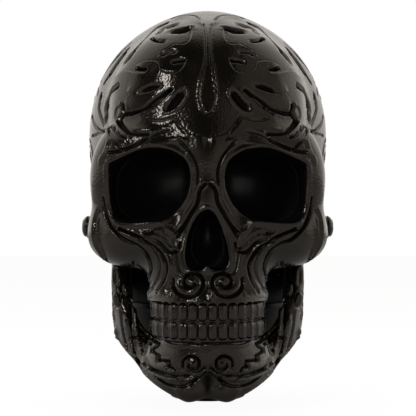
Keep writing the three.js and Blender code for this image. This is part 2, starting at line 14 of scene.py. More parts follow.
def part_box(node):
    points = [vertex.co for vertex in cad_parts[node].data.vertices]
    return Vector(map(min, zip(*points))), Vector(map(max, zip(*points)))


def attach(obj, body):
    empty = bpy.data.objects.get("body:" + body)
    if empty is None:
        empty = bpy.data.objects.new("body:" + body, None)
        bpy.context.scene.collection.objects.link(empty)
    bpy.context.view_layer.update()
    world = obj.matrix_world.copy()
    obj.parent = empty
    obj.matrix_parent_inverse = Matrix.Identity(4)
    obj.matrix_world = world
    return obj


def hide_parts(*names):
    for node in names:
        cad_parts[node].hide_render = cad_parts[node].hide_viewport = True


bl_info = {
    "name": "Carved Skull Ornament",
    "version": (1, 0, 0),
    "blender": (4, 5, 0),
    "location": "View3D > Sidebar > Skull",
    "description": "Carved gloss black skull with a swinging jaw on an oval stand",
    "category": "Add Mesh",
}

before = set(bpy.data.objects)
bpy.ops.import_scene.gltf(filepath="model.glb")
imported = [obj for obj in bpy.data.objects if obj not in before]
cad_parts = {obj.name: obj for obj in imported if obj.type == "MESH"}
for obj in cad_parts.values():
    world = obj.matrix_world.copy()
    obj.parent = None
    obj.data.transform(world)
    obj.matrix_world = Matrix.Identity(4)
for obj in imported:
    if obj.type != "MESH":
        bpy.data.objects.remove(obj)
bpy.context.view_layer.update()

MM = 0.001

# Driving sizes of the solids
HEAD = np.array((127.0, 168.0, 200.0))
MIDDLE = np.array((0.0, -0.27, 6.0))
WALL = 3.0
INSIDE = 2.8
GAP = 0.3
BLEND = 5.0
FAR = 400.0
# How far a cutting tool reaches past the surface that it opens
OVERSHOOT = 4.0

# The camera stands level with the nose, a metre in front
CAMERA = np.array((0.16, -1000.0, 101.0))
IMAGE_SIDE = 416
FOCAL_PX = 1890.0
SENSOR = 36.0
CAMERA_TO_FRONT = 935.0


def at(across, back, up):
    """A place given as shares of the head's width, length and height."""
    return MIDDLE + HEAD * (across, back, up)


# Each mass of bone: its centre, then its half sizes, as shares. A mass off the middle has a twin.
MASS_SHARES = {
    "braincase": ((0, 0.083, 0.632), (0.484, 0.417, 0.368)),
    "side of the crown": ((0.195, 0.119, 0.7), (0.268, 0.262, 0.222)),
    "forehead": ((0, -0.131, 0.7), (0.362, 0.286, 0.25)),
    "forehead boss": ((0.157, -0.202, 0.75), (0.205, 0.179, 0.15)),
    "brow ridge": ((0.205, -0.352, 0.628), (0.175, 0.083, 0.045)),
    "between the brows": ((0, -0.369, 0.6), (0.11, 0.083, 0.06)),
    "outer edge of the socket": ((0.37, -0.292, 0.56), (0.074, 0.075, 0.09)),
    "temple": ((0.34, -0.2, 0.53), (0.09, 0.11, 0.09)),
    "behind the socket": ((0.24, -0.3, 0.53), (0.15, 0.075, 0.105)),
    "cheekbone": ((0.325, -0.27, 0.4), (0.112, 0.101, 0.066)),
    "cheek arch": ((0.418, -0.107, 0.407), (0.05, 0.19, 0.046)),
    "upper jaw": ((0, -0.298, 0.34), (0.22, 0.167, 0.11)),
    "upper gum": ((0, -0.286, 0.25), (0.23, 0.206, 0.05)),
    "bridge of the nose": ((0, -0.393, 0.49), (0.087, 0.077, 0.08)),
    "under the socket": ((0.195, -0.345, 0.42), (0.142, 0.083, 0.05)),
    "behind the ear": ((0.3, 0.155, 0.34), (0.085, 0.095, 0.13)),
    "nape": ((0, 0.286, 0.42), (0.315, 0.19, 0.15)),
    "base of the head": ((0, 0.119, 0.31), (0.365, 0.265, 0.16)),
}

# Sockets and nose
EYE = at(0, -0.33, 0.53) + (29.0, 0, 0)
EYE_HALF = np.array((20.5, 33.0, 18.5))
EYE_SQUARENESS = 0.8
EYE_TURN = 0.3
EYE_DROOP = 0.1
NOSE = at(0, -0.43, 0.322)
NOSE_HALF = np.array((11.0, 24.0, 15.5))
NOSE_TOP_SHARE = 0.4
NOSE_TAPER = 1.3
CUP_WALL = 2.0
CUP_SETBACK = 10.0
COLLAR = 6.0

# Teeth and jaw
TOOTH_HEIGHT = 9.5
TOOTH_THICKNESS = 6.5
BITE = at(0, 0, 0.1975)[2]
ARCH_HALF = 29.5
ARCH_DEPTH = 46.0
ARCH_MIDDLE = at(0, -0.488, 0)[1] + ARCH_DEPTH
GUM = BITE + TOOTH_HEIGHT + GAP / 2
JAW_TOP = BITE - TOOTH_HEIGHT - GAP / 2
GUM_THICKNESS = 9.5
GUM_BULGE = 1.5
TENON = 2.5
# How square the jaw's section is, upright and through its thickness
JAW_UPRIGHTNESS = 0.55
JAW_SQUARENESS = 0.45
RAMUS_OUTER = at(0.394, 0, 0)[0]
RAMUS_THICKNESS = 9.0
JAW_THICKNESS = 10.0
PIVOT = at(0, -0.03, 0.425)
EYELET = 8.5
PIN = 2.5
SIDE_ROOM = 1.4
KNOB = 7.0
POCKET_INNER = RAMUS_OUTER - RAMUS_THICKNESS - SIDE_ROOM
POCKET_OUTER = RAMUS_OUTER + SIDE_ROOM
POCKET_FRONT = PIVOT[1] - 3.5 * EYELET
BASE = at(0, 0, 0.225)[2]
SWING_ROOM = math.sin(math.radians(5)) * (PIVOT[2] - BASE) + 2 * GAP
POCKET_REAR = PIVOT[1] + EYELET + SWING_ROOM
POCKET_TOP = PIVOT[2] + EYELET + 2 * GAP
PIN_SEAT = POCKET_OUTER + WALL
PIN_ROOM = 14.0
LAP = 4.0
PARTING = POCKET_REAR + WALL + LAP + GAP

# Stand
STAND = at(0, 0.13, 0)
STAND_TOP = BASE - GAP
STAND_HALF = np.array((43.5, 35.0))
FOOT_HALF = 20.0
PAD_TOP = 2.0
POST = 4.5
POST_TOP = BASE + 10.0
SCREW_HOLE = 1.8
SCREW_DEPTH = 7.0
HOLE_SIDES = 24
FLOOR_THICKNESS = 4.3
PLATE_HOLE_TOP = 14.0
STAND_WALL = 2.7
POST_ROOM = 2.8
BEAD_ROOM = 0.5

# How close the points of a carved mesh lie beside the strokes, and away from them
FINE = 0.46
COARSE = 2.2
COARSENING = 0.45


def coordinates(source):
    """The points of a mesh as an array."""
    flat = np.empty(len(source.vertices) * 3)
    source.vertices.foreach_get("co", flat)
    return flat.reshape(-1, 3)


def bone(points, depth=0.0):
    """How far points lie outside the bone, and the direction that leads away from it."""
    total = np.zeros(len(points))
    lead = np.zeros_like(points)
    for centre, half in MASSES:
        unit = (points - centre) / half
        reach = np.linalg.norm(unit, axis=1)
        slope = unit / half
        steep = np.maximum(np.linalg.norm(slope, axis=1), 1e-9)
        weight = np.exp(-reach * (reach - 1) / steep / BLEND)
        total += weight
        lead += slope * (weight / steep)[:, None]
    lead /= np.maximum(np.linalg.norm(lead, axis=1), 1e-9)[:, None]
    return -BLEND * np.log(total) + depth, lead


def both_masses():
    """Every mass with its twin, as centre and half sizes."""
    masses = []
    for centre, half in MASS_SHARES.values():
        for side in (1, -1) if centre[0] else (1,):
            place = at(side * centre[0], centre[1], centre[2])
            masses.append((place, HEAD * half))
    return masses


MASSES = both_masses()
REACH_CENTRE = at(0, 0.03, 0.525)


def first_reach(directions, depth):
    """Points where rays from the middle of the head leave the bone."""
    stride = 2.5
    well_outside = 200.0
    halvings = 9
    lengths = np.full(len(directions), well_outside)
    open_rays = np.arange(len(directions))
    while open_rays.size:
        lengths[open_rays] -= stride
        points = REACH_CENTRE + directions[open_rays] * lengths[open_rays, None]
        outside = bone(points, depth)[0] >= 0
        open_rays = open_rays[outside & (lengths[open_rays] > stride)]
    inner = lengths
    outer = lengths + stride
    for _ in range(halvings):
        middle = (inner + outer) / 2
        within = bone(REACH_CENTRE + directions * middle[:, None], depth)[0] < 0
        inner = np.where(within, middle, inner)
        outer = np.where(within, outer, middle)
    return REACH_CENTRE + directions * inner[:, None]


def settled(points):
    """Points moved onto the bone's surface along its own direction."""
    longest_step = 2.0
    for _ in range(3):
        gap, lead = bone(points)
        points = points - lead * np.clip(gap, -longest_step, longest_step)[:, None]
    return points


# Making and cutting solids


def to_object(bm, name):
    """A bmesh as an object in the scene, and the bmesh is freed."""
    mesh = bpy.data.meshes.new(name)
    bm.to_mesh(mesh)
    bm.free()
    made = bpy.data.objects.new(name, mesh)
    bpy.context.scene.collection.objects.link(made)
    return made


def edited(mesh, *changes):
    """Changes a mesh by rules on its bmesh, in turn."""
    bm = bmesh.new()
    bm.from_mesh(mesh)
    for change in changes:
        change(bm)
    bm.to_mesh(mesh)
    bm.free()


def all_triangles(bm):
    bmesh.ops.triangulate(bm, faces=bm.faces)


def wide_triangulated(bm):
    """Cuts faces of more than four corners into triangles."""
    bmesh.ops.triangulate(bm, faces=[f for f in bm.faces if len(f.verts) > 4])


def softened(bm, verts, rounds):
    """Evens out points of a bmesh."""
    for _ in range(rounds):
        bmesh.ops.smooth_vert(
            bm, verts=verts, factor=0.5, use_axis_x=True, use_axis_y=True, use_axis_z=True
        )


def moved(bm, rule):
    """Moves every vertex of a bmesh by a rule on an array of points."""
    points = np.array([v.co for v in bm.verts])
    for vert, point in zip(bm.verts, rule(points)):
        vert.co = point


def faced_out(bm):
    """Turns every face of a closed bmesh outwards, in plain triangles."""
    all_triangles(bm)
    bm.normal_update()
    bmesh.ops.recalc_face_normals(bm, faces=bm.faces)


def ball(name, rule, subdivisions=4):
    """An icosphere of radius 1 whose points a rule moves."""
    bm = bmesh.new()
    bmesh.ops.create_icosphere(bm, subdivisions=subdivisions, radius=1)
    moved(bm, rule)
    faced_out(bm)
    return to_object(bm, name)


def block(low, high):
    """A plain box between two corners."""
    bm = bmesh.new()
    bmesh.ops.create_cube(bm, size=1)
    low, high = np.array(low, float), np.array(high, float)
    moved(bm, lambda p: (low + high) / 2 + p * (high - low))
    return to_object(bm, "block")


def bar(axis, radius, start, end, place, sides=48):
    """A round bar along an axis (0 or 2) from start to end, through a place."""
    bm = bmesh.new()
    bmesh.ops.create_cone(
        bm, cap_ends=True, segments=sides, radius1=radius, radius2=radius, depth=end - start
    )

    def rule(points):
        if axis == 0:
            points = points[:, (2, 0, 1)]
        centre = np.array(place, float)
        centre[axis] = (start + end) / 2
        return points + centre

    moved(bm, rule)
    faced_out(bm)
    return to_object(bm, "bar")


def tube(name, sides, length_cuts, rule):
    """A closed round tube of many rings, whose points a rule moves. Its axis runs from -1 to 1."""
    bm = bmesh.new()
    bmesh.ops.create_cone(bm, cap_ends=True, segments=sides, radius1=1, radius2=1, depth=2)
    lengthwise = [e for e in bm.edges if abs(e.verts[0].co.z - e.verts[1].co.z) > 1]
    bmesh.ops.subdivide_edges(bm, edges=lengthwise, cuts=length_cuts, use_grid_fill=True)
    moved(bm, rule)
    wide_triangulated(bm)
    faced_out(bm)
    return to_object(bm, name)


def loft(name, rings):
    """A closed solid through rings of points."""
    bm = bmesh.new()
    loops = []
    for points in rings:
        circle = bmesh.ops.create_circle(bm, segments=len(points), radius=1)["verts"]
        for vert, point in zip(circle, points):
            vert.co = point
        loops.append(circle)
    for first, second in zip(loops, loops[1:]):
        pair = set(first) | set(second)
        edges = [e for e in bm.edges if e.verts[0] in pair and e.verts[1] in pair]
        same = [e for e in edges if (e.verts[0] in set(first)) == (e.verts[1] in set(first))]
        bmesh.ops.bridge_loops(bm, edges=same)
    for circle in (loops[0], loops[-1]):
        ends = [e for e in bm.edges if e.verts[0] in circle and e.verts[1] in circle]
        bmesh.ops.contextual_create(bm, geom=ends)
    faced_out(bm)
    return to_object(bm, name)


def twin(obj):
    """A mirrored copy on the other side of the head."""
    bm = bmesh.new()
    bm.from_mesh(obj.data)
    bmesh.ops.scale(bm, vec=(-1, 1, 1), verts=bm.verts)
    faced_out(bm)
    return to_object(bm, obj.name + "_twin")


def both(obj):
    return [obj, twin(obj)]


def copied(obj):
    bm = bmesh.new()
    bm.from_mesh(obj.data)
    return to_object(bm, obj.name + "_copy")


def removed(obj):
    mesh = obj.data
    bpy.data.objects.remove(obj)
    bpy.data.meshes.remove(mesh)


def worked(obj, tools, operation):
    """Cuts, joins or overlaps a closed solid with others, which are used up."""
    for tool in tools:
        modifier = obj.modifiers.new("work", "BOOLEAN")
        modifier.operation = operation
        modifier.solver = "MANIFOLD"
        modifier.object = tool
        graph = bpy.context.evaluated_depsgraph_get()
        result = bpy.data.meshes.new_from_object(obj.evaluated_get(graph), depsgraph=graph)
        obj.modifiers.clear()
        if not len(result.polygons):
            raise RuntimeError(f"{obj.name}: {operation} with {tool.name} left nothing")
        old = obj.data
        obj.data = result
        bpy.data.meshes.remove(old)
        removed(tool)
    return obj


def cut(obj, *tools):
    return worked(obj, tools, "DIFFERENCE")


def join(obj, *tools):
    return worked(obj, tools, "UNION")


def overlap(obj, *tools):
    return worked(obj, tools, "INTERSECT")


def below(z):
    return block((-FAR, -FAR, -FAR), (FAR, FAR, z))


def in_front(y):
    return block((-FAR, -FAR, -FAR), (FAR, y, FAR))


def behind(y):
    return block((-FAR, y, -FAR), (FAR, FAR, FAR))


# Carving


def curved(a, b, c, d, t):
    """Places on the smooth curve from b to c that comes from a and goes on to d."""
    turn = (c - a) * t + (2 * a - 5 * b + 4 * c - d) * t**2 + (3 * b - a - 3 * c + d) * t**3
    return b + turn / 2


def smooth_path(points, step, closed=False):
    """Points at even steps along a smooth curve through the given points."""
    knots = np.array(points, float)
    if len(knots) == 1:
        return knots
    if closed:
        knots = np.vstack((knots[-1:], knots, knots[:2]))
    else:
        knots = np.vstack((2 * knots[0] - knots[1], knots, 2 * knots[-1] - knots[-2]))
    made = []
    for a, b, c, d in zip(knots, knots[1:], knots[2:], knots[3:]):
        count = max(2, int(round(np.linalg.norm(c - b) / step)))
        made.append(curved(a, b, c, d, np.linspace(0, 1, count, endpoint=False)[:, None]))
    if not closed:
        made.append(knots[-2:-1])
    return np.vstack(made)


def spiral(centre, radius, start, turns, inner_share=0.15):
    """Places on a spiral that winds inwards, from an angle in degrees."""
    steps = int(10 * abs(turns)) + 2
    places = []
    for i in range(steps + 1):
        share = i / steps
        angle = math.radians(start + 360 * turns * share)
        r = radius * (1 - (1 - inner_share) * share)
        places.append((centre[0] + r * math.cos(angle), centre[1] + r * math.sin(angle)))
    return places


def ring(centre, across, up):
    """Places round an oval."""
    turns = np.linspace(0, 2 * np.pi, 12, endpoint=False)
    return [(centre[0] + across * math.cos(t), centre[1] + up * math.sin(t)) for t in turns]


def front_ray(place):
    """From the camera through a pixel of the picture."""
    half = IMAGE_SIDE / 2
    direction = np.array(((place[0] - half) / FOCAL_PX, 1.0, (half - place[1]) / FOCAL_PX))
    return CAMERA, direction


def side_ray(place):
    """From beside the head, through a place given as back and up."""
    return np.array((-FAR, place[0], place[1])), np.array((1.0, 0, 0))


def back_ray(place):
    """From behind the head, through a place given as across and up."""
    return np.array((place[0], FAR, place[1])), np.array((0, -1.0, 0))


def top_ray(place):
    """From above the head, through a place given as across and back."""
    return np.array((place[0], place[1], FAR)), np.array((0, 0, -1.0))


# Each view's rays, and the step along a path in that view's own units
VIEWS = {
    "front": (front_ray, 1.0),
    "side": (side_ray, 0.5),
    "back": (back_ray, 0.5),
    "top": (top_ray, 0.5),
}


# The forms below take distances across a stroke and its half width, and give heights over its
# depth. Their numbers are shares of the half width, or of the depth.


def bump(x):
    """A smooth bell that is 1 at 0 and ends at 1 on both sides."""
    return np.where(np.abs(x) < 1, (1 - x**2) ** 2, 0)


def slot_form(s, half):
    """A flat-bottomed slot with a faint lip outside its edge."""
    u = np.abs(s) / half
    lip = 0.14 * bump((u - 1.25) / 0.35)
    return -np.where(u < 1, (1 - np.minimum(u, 1) ** 4), 0) + lip


def groove_form(s, half):
    """A round-bottomed groove with a faint lip outside its edge."""
    u = np.abs(s) / half
    lip = 0.18 * bump((u - 1.3) / 0.5)
    return -np.where(u < 1, 1 - u**2, 0) + lip


def ridge_form(s, half):
    """A rounded ridge."""
    return bump(s / half)


def twin_form(s, half):
    """Two thin ridges with a groove between them."""
    ridges = 0.6 * bump((np.abs(s) - 0.62 * half) / (0.38 * half))
    return ridges - bump(s / (0.5 * half))


def step_form(s, half):
    """A plate that stands proud on the left of the stroke and fades into the bone."""
    rise = np.clip((s + 0.35 * half) / (0.7 * half), 0, 1)
    rise = rise**2 * (3 - 2 * rise)
    fade = np.where(s > 0, np.exp(-((s / (7 * half)) ** 2)), 1)
    foot = -0.35 * bump((s + 0.6 * half) / (0.6 * half))
    edge = 0.25 * bump((s - 0.5 * half) / (0.5 * half))
    return rise * fade + foot + edge


def rim_form(s, half):
    """A rounded lip that rolls over into an opening on the left of the stroke."""
    lip = 0.55 * bump((s + 0.9 * half) / (1.1 * half))
    u = np.clip((s + 0.7 * half) / (0.9 * half), 0, 1)
    roll = 1.2 * (1 - np.sqrt(1 - u**2 * 0.999))
    return lip - roll - np.clip(s - 0.2 * half, 0, half)


# Each form: its shape across the stroke, and how many half widths out it reaches
FORMS = {
    "slot": (slot_form, 1.7),
    "groove": (groove_form, 1.9),
    "ridge": (ridge_form, 1.05),
    "twin": (twin_form, 1.05),
    "step": (step_form, 9.0),
    "rim": (rim_form, 2.2),
}


class Stroke:
    """One carved line, laid on a surface: where it runs, and its shape across."""

    # Path points that are compared with the mesh in one go
    CHUNK = 12
    # Least share of its width that a slanting stroke shows, for slots and for the other forms
    SLOT_SLANT = 0.25
    SLANT = 0.6
    # Thinnest that a pointed end gets, and the share of a plate's edge over which it fades in
    THINNEST = 0.04
    FADE_IN = 0.12
    # Spacing of the points across a stroke, as a share of its half width
    ACROSS = 0.55

    def __init__(self, tree, view, form, width, depth, places, closed=False, side=1, pointed=0):
        ray, step = VIEWS[view]
        found = []
        for place in smooth_path(places, step, closed):
            origin, direction = ray(place)
            hit, normal, _, _ = tree.ray_cast(Vector(origin), Vector(direction))
            if hit is not None:
                look = direction / np.linalg.norm(direction)
                found.append((*hit, *normal, *look))
        found = np.array(found).reshape(-1, 9)
        self.path = found[:, :3] * (side, 1, 1)
        normals = found[:, 3:6] * (side, 1, 1)
        looks = found[:, 6:] * (side, 1, 1)
        self.form, self.reach_halves = FORMS[form]
        self.depth = depth
        self.pointed = pointed
        self.count = len(found)
        if self.count > 1:
            if closed:
                along = np.roll(self.path, -1, axis=0) - np.roll(self.path, 1, axis=0)
            else:
                along = np.gradient(self.path, axis=0)
            along /= np.maximum(np.linalg.norm(along, axis=1), 1e-9)[:, None]
        else:
            along = np.zeros((self.count, 3))
            along[:, 0] = 1
        self.along = along
        self.across = np.cross(normals, along) * side
        # Where the surface turns away, the stroke is wider, so that it looks as wide as given
        sunk = (self.across * looks).sum(1)
        least = self.SLOT_SLANT if form == "slot" else self.SLANT
        self.halves = width / 2 / np.clip(np.sqrt(np.clip(1 - sunk**2, 0, 1)), least, 1)
        self.widest = self.halves.max() if self.count else 0
        run = np.linalg.norm(np.diff(self.path, axis=0), axis=1)
        self.run = np.concatenate(([0], np.cumsum(run)))
        self.closed = closed

    def measured(self, points, reach):
        """For points near it: numbers, distances across, shares of its length, half widths."""
        best = np.full(len(points), np.inf)
        across = np.zeros(len(points))
        run = np.zeros(len(points))
        halves = np.ones(len(points))
        last = self.count - 1
        for start in range(0, self.count, self.CHUNK):
            stop = min(start + self.CHUNK, self.count)
            piece = self.path[start:stop]
            low, high = piece.min(0) - reach, piece.max(0) + reach
            near = np.flatnonzero(np.all((points > low) & (points < high), axis=1))
            if not near.size:
                continue
            away = points[near, None, :] - piece[None]
            length = np.linalg.norm(away, axis=2)
            pick = length.argmin(1)
            rows = np.arange(near.size)
            away, length = away[rows, pick], length[rows, pick]
            number = start + pick
            forward = (away * self.along[number]).sum(1)
            sideways = (away * self.across[number]).sum(1)
            over = np.zeros(near.size)
            if not self.closed:
                over = np.where(number == 0, np.minimum(forward, 0), 0)
                over = over + np.where(number == last, np.maximum(forward, 0), 0)
            sign = np.where(sideways < 0, -1.0, 1.0)
            better = length < best[near]
            rows = near[better]
            best[rows] = length[better]
            across[rows] = (sign * np.hypot(sideways, over))[better]
            run[rows] = self.run[number][better] + forward[better]
            halves[rows] = self.halves[number][better]
        rows = np.flatnonzero(best < reach)
        share = np.clip(run[rows] / max(self.run[-1], 1e-6), 0, 1)
        return rows, across[rows], share, halves[rows]

    def carve(self, points, relief):
        """Adds the stroke's depth to the relief of the points that it reaches."""
        if not self.count:
            return
        rows, across, share, half = self.measured(points, self.widest * self.reach_halves)
        strength = self.depth
        if self.pointed:
            taper = np.clip(np.minimum(share, 1 - share) / self.pointed, self.THINNEST, 1)
            half = half * np.sqrt(taper)
            strength = self.depth * np.sqrt(taper)
        elif self.form is step_form and not self.closed:
            strength = self.depth * np.clip(np.minimum(share, 1 - share) / self.FADE_IN, 0, 1)
        relief[rows] += strength * self.form(across, half)

    def tighten(self, points, spacing, fine, slack):
        """Lowers the spacing wanted at points beside the stroke."""
        if not self.count:
            return
        core = 1.0 if self.form is step_form else self.reach_halves
        rows, across, _, half = self.measured(points, self.widest * core + slack)
        beyond = np.maximum(np.abs(across) - half * core, 0)
        needed = np.clip(self.ACROSS * half, fine, None)
        spacing[rows] = np.minimum(spacing[rows], needed + COARSENING * beyond)


def laid(strokes, mesh):
    """Strokes laid on a mesh, each with its twin on the other side."""
    bm = bmesh.new()
    bm.from_mesh(mesh)
    tree = BVHTree.FromBMesh(bm)
    bm.free()
    made = []
    for view, form, width, depth, places, *more in strokes.values():
        options = more[0] if more else {}
        middle = options.get("middle", False)
        rest = {k: v for k, v in options.items() if k != "middle"}
        for side in (1,) if middle else (1, -1):
            made.append(Stroke(tree, view, form, width, depth, places, side=side, **rest))
    return made


def refined(mesh, strokes, fine, rounds, settle=None):
    """Makes a mesh's triangles small beside the strokes, with the new points settled."""
    longest = 1.5
    bm = bmesh.new()
    bm.from_mesh(mesh)
    for _ in range(rounds):
        bm.verts.ensure_lookup_table()
        bm.edges.ensure_lookup_table()
        bm.to_mesh(mesh)
        points = coordinates(mesh)
        ends = np.empty(len(mesh.edges) * 2, np.int32)
        mesh.edges.foreach_get("vertices", ends)
        ends = ends.reshape(-1, 2)
        spacing = np.full(len(points), COARSE)
        for stroke in strokes:
            stroke.tighten(points, spacing, fine, (COARSE - fine) / COARSENING)
        length = np.linalg.norm(points[ends[:, 0]] - points[ends[:, 1]], axis=1)
        wanted = spacing[ends].mean(1)
        long = np.flatnonzero(length > longest * wanted)
        if not long.size:
            break
        bmesh.ops.subdivide_edges(bm, edges=[bm.edges[i] for i in long], cuts=1)
        wide = [f for f in bm.faces if len(f.verts) > 3]
        bmesh.ops.triangulate(bm, faces=wide, quad_method="SHORT_EDGE", ngon_method="BEAUTY")
        if settle:
            new = list(bm.verts)[len(points):]
            for vert, point in zip(new, settle(np.array([v.co for v in new]))):
                vert.co = point
    bm.to_mesh(mesh)
    bm.free()


# How deep and how high the relief may get where strokes cross
DEEPEST = -2.5
HIGHEST = 2.2
# The least relief that is evened out
LEAST_RELIEF = 0.02


def carved(obj, strokes, lead):
    """Moves a mesh's points along their own direction by the strokes' relief."""
    points = coordinates(obj.data)
    relief = np.zeros(len(points))
    for stroke in strokes:
        stroke.carve(points, relief)
    relief = np.clip(relief * bpy.context.scene.skull_sizes.relief, DEEPEST, HIGHEST)
    points = points + lead(points) * relief[:, None]
    obj.data.vertices.foreach_set("co", points.ravel())
    depth = obj.data.attributes.new("carving", "FLOAT", "POINT")
    depth.data.foreach_set("value", relief.astype(np.float32))

    def evened(bm):
        bm.verts.ensure_lookup_table()
        touched = [bm.verts[i] for i in np.flatnonzero(np.abs(relief) > LEAST_RELIEF)]
        softened(bm, touched, 1)

    edited(obj.data, evened)


def calm_lead(obj):
    """The directions that lead out of a solid, as on a smoothed copy of it."""
    calm = copied(obj)
    edited(calm.data, lambda bm: softened(bm, bm.verts, 6))
    flat = np.empty(len(calm.data.vertices) * 3)
    calm.data.vertex_normals.foreach_get("vector", flat)
    removed(calm)
    return flat.reshape(-1, 3)


def dulled_and_shaded_inside(obj):
    """Gives unpolished faces inside the bone and beside the mouth a matte finish with painted
    shade.
    """
    mesh = obj.data
    centres = np.empty(len(mesh.polygons) * 3)
    mesh.polygons.foreach_get("center", centres)
    centres = centres.reshape(-1, 3) / MM
    deep = bone(centres)[0] < -INSIDE
    across = np.abs(centres[:, 0])
    beside = (across > ARCH_HALF + 1) & (across < POCKET_OUTER)
    low = (centres[:, 2] < GUM + GUM_THICKNESS) & (centres[:, 1] > ARCH_MIDDLE - ARCH_DEPTH / 2)
    inside = deep | (beside & low & (centres[:, 1] < PIVOT[1] + EYELET + JAW_THICKNESS / 2))
    # Painted shade: a darker colour than the shell and a weak reflection, on top of the matte
    # finish
    mesh.materials.append(kept("matte black inside", lambda name: satin(
        name, (0.0008, 0.0008, 0.0008), (0.0016, 0.0016, 0.0016), 700, 0.7, 0.3, shine=0.1
    )))
    mesh.polygons.foreach_set("material_index", inside.astype(np.int32))
    mesh.update()


# Edges at which a surface turns by more degrees than this stay sharp
PLAIN_ANGLE = 38
CARVED_ANGLE = 75


def finished(obj, name, body, material, replaces, angle=PLAIN_ANGLE):
    """A piece in metres, shaded smooth but for its sharp edges, that rides on a body."""
    obj.name = name
    obj.data.name = name
    mesh = obj.data
    edited(
        mesh,
        lambda bm: bmesh.ops.dissolve_degenerate(bm, dist=0.001, edges=bm.edges),
        lambda bm: bmesh.ops.scale(bm, vec=(MM, MM, MM), verts=bm.verts),
        wide_triangulated,
    )
    mesh.polygons.foreach_set("use_smooth", [True] * len(mesh.polygons))
    mesh.set_sharp_from_angle(angle=math.radians(angle))
    mesh.materials.clear()
    mesh.materials.append(material)
    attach(obj, body)
    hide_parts(*replaces)


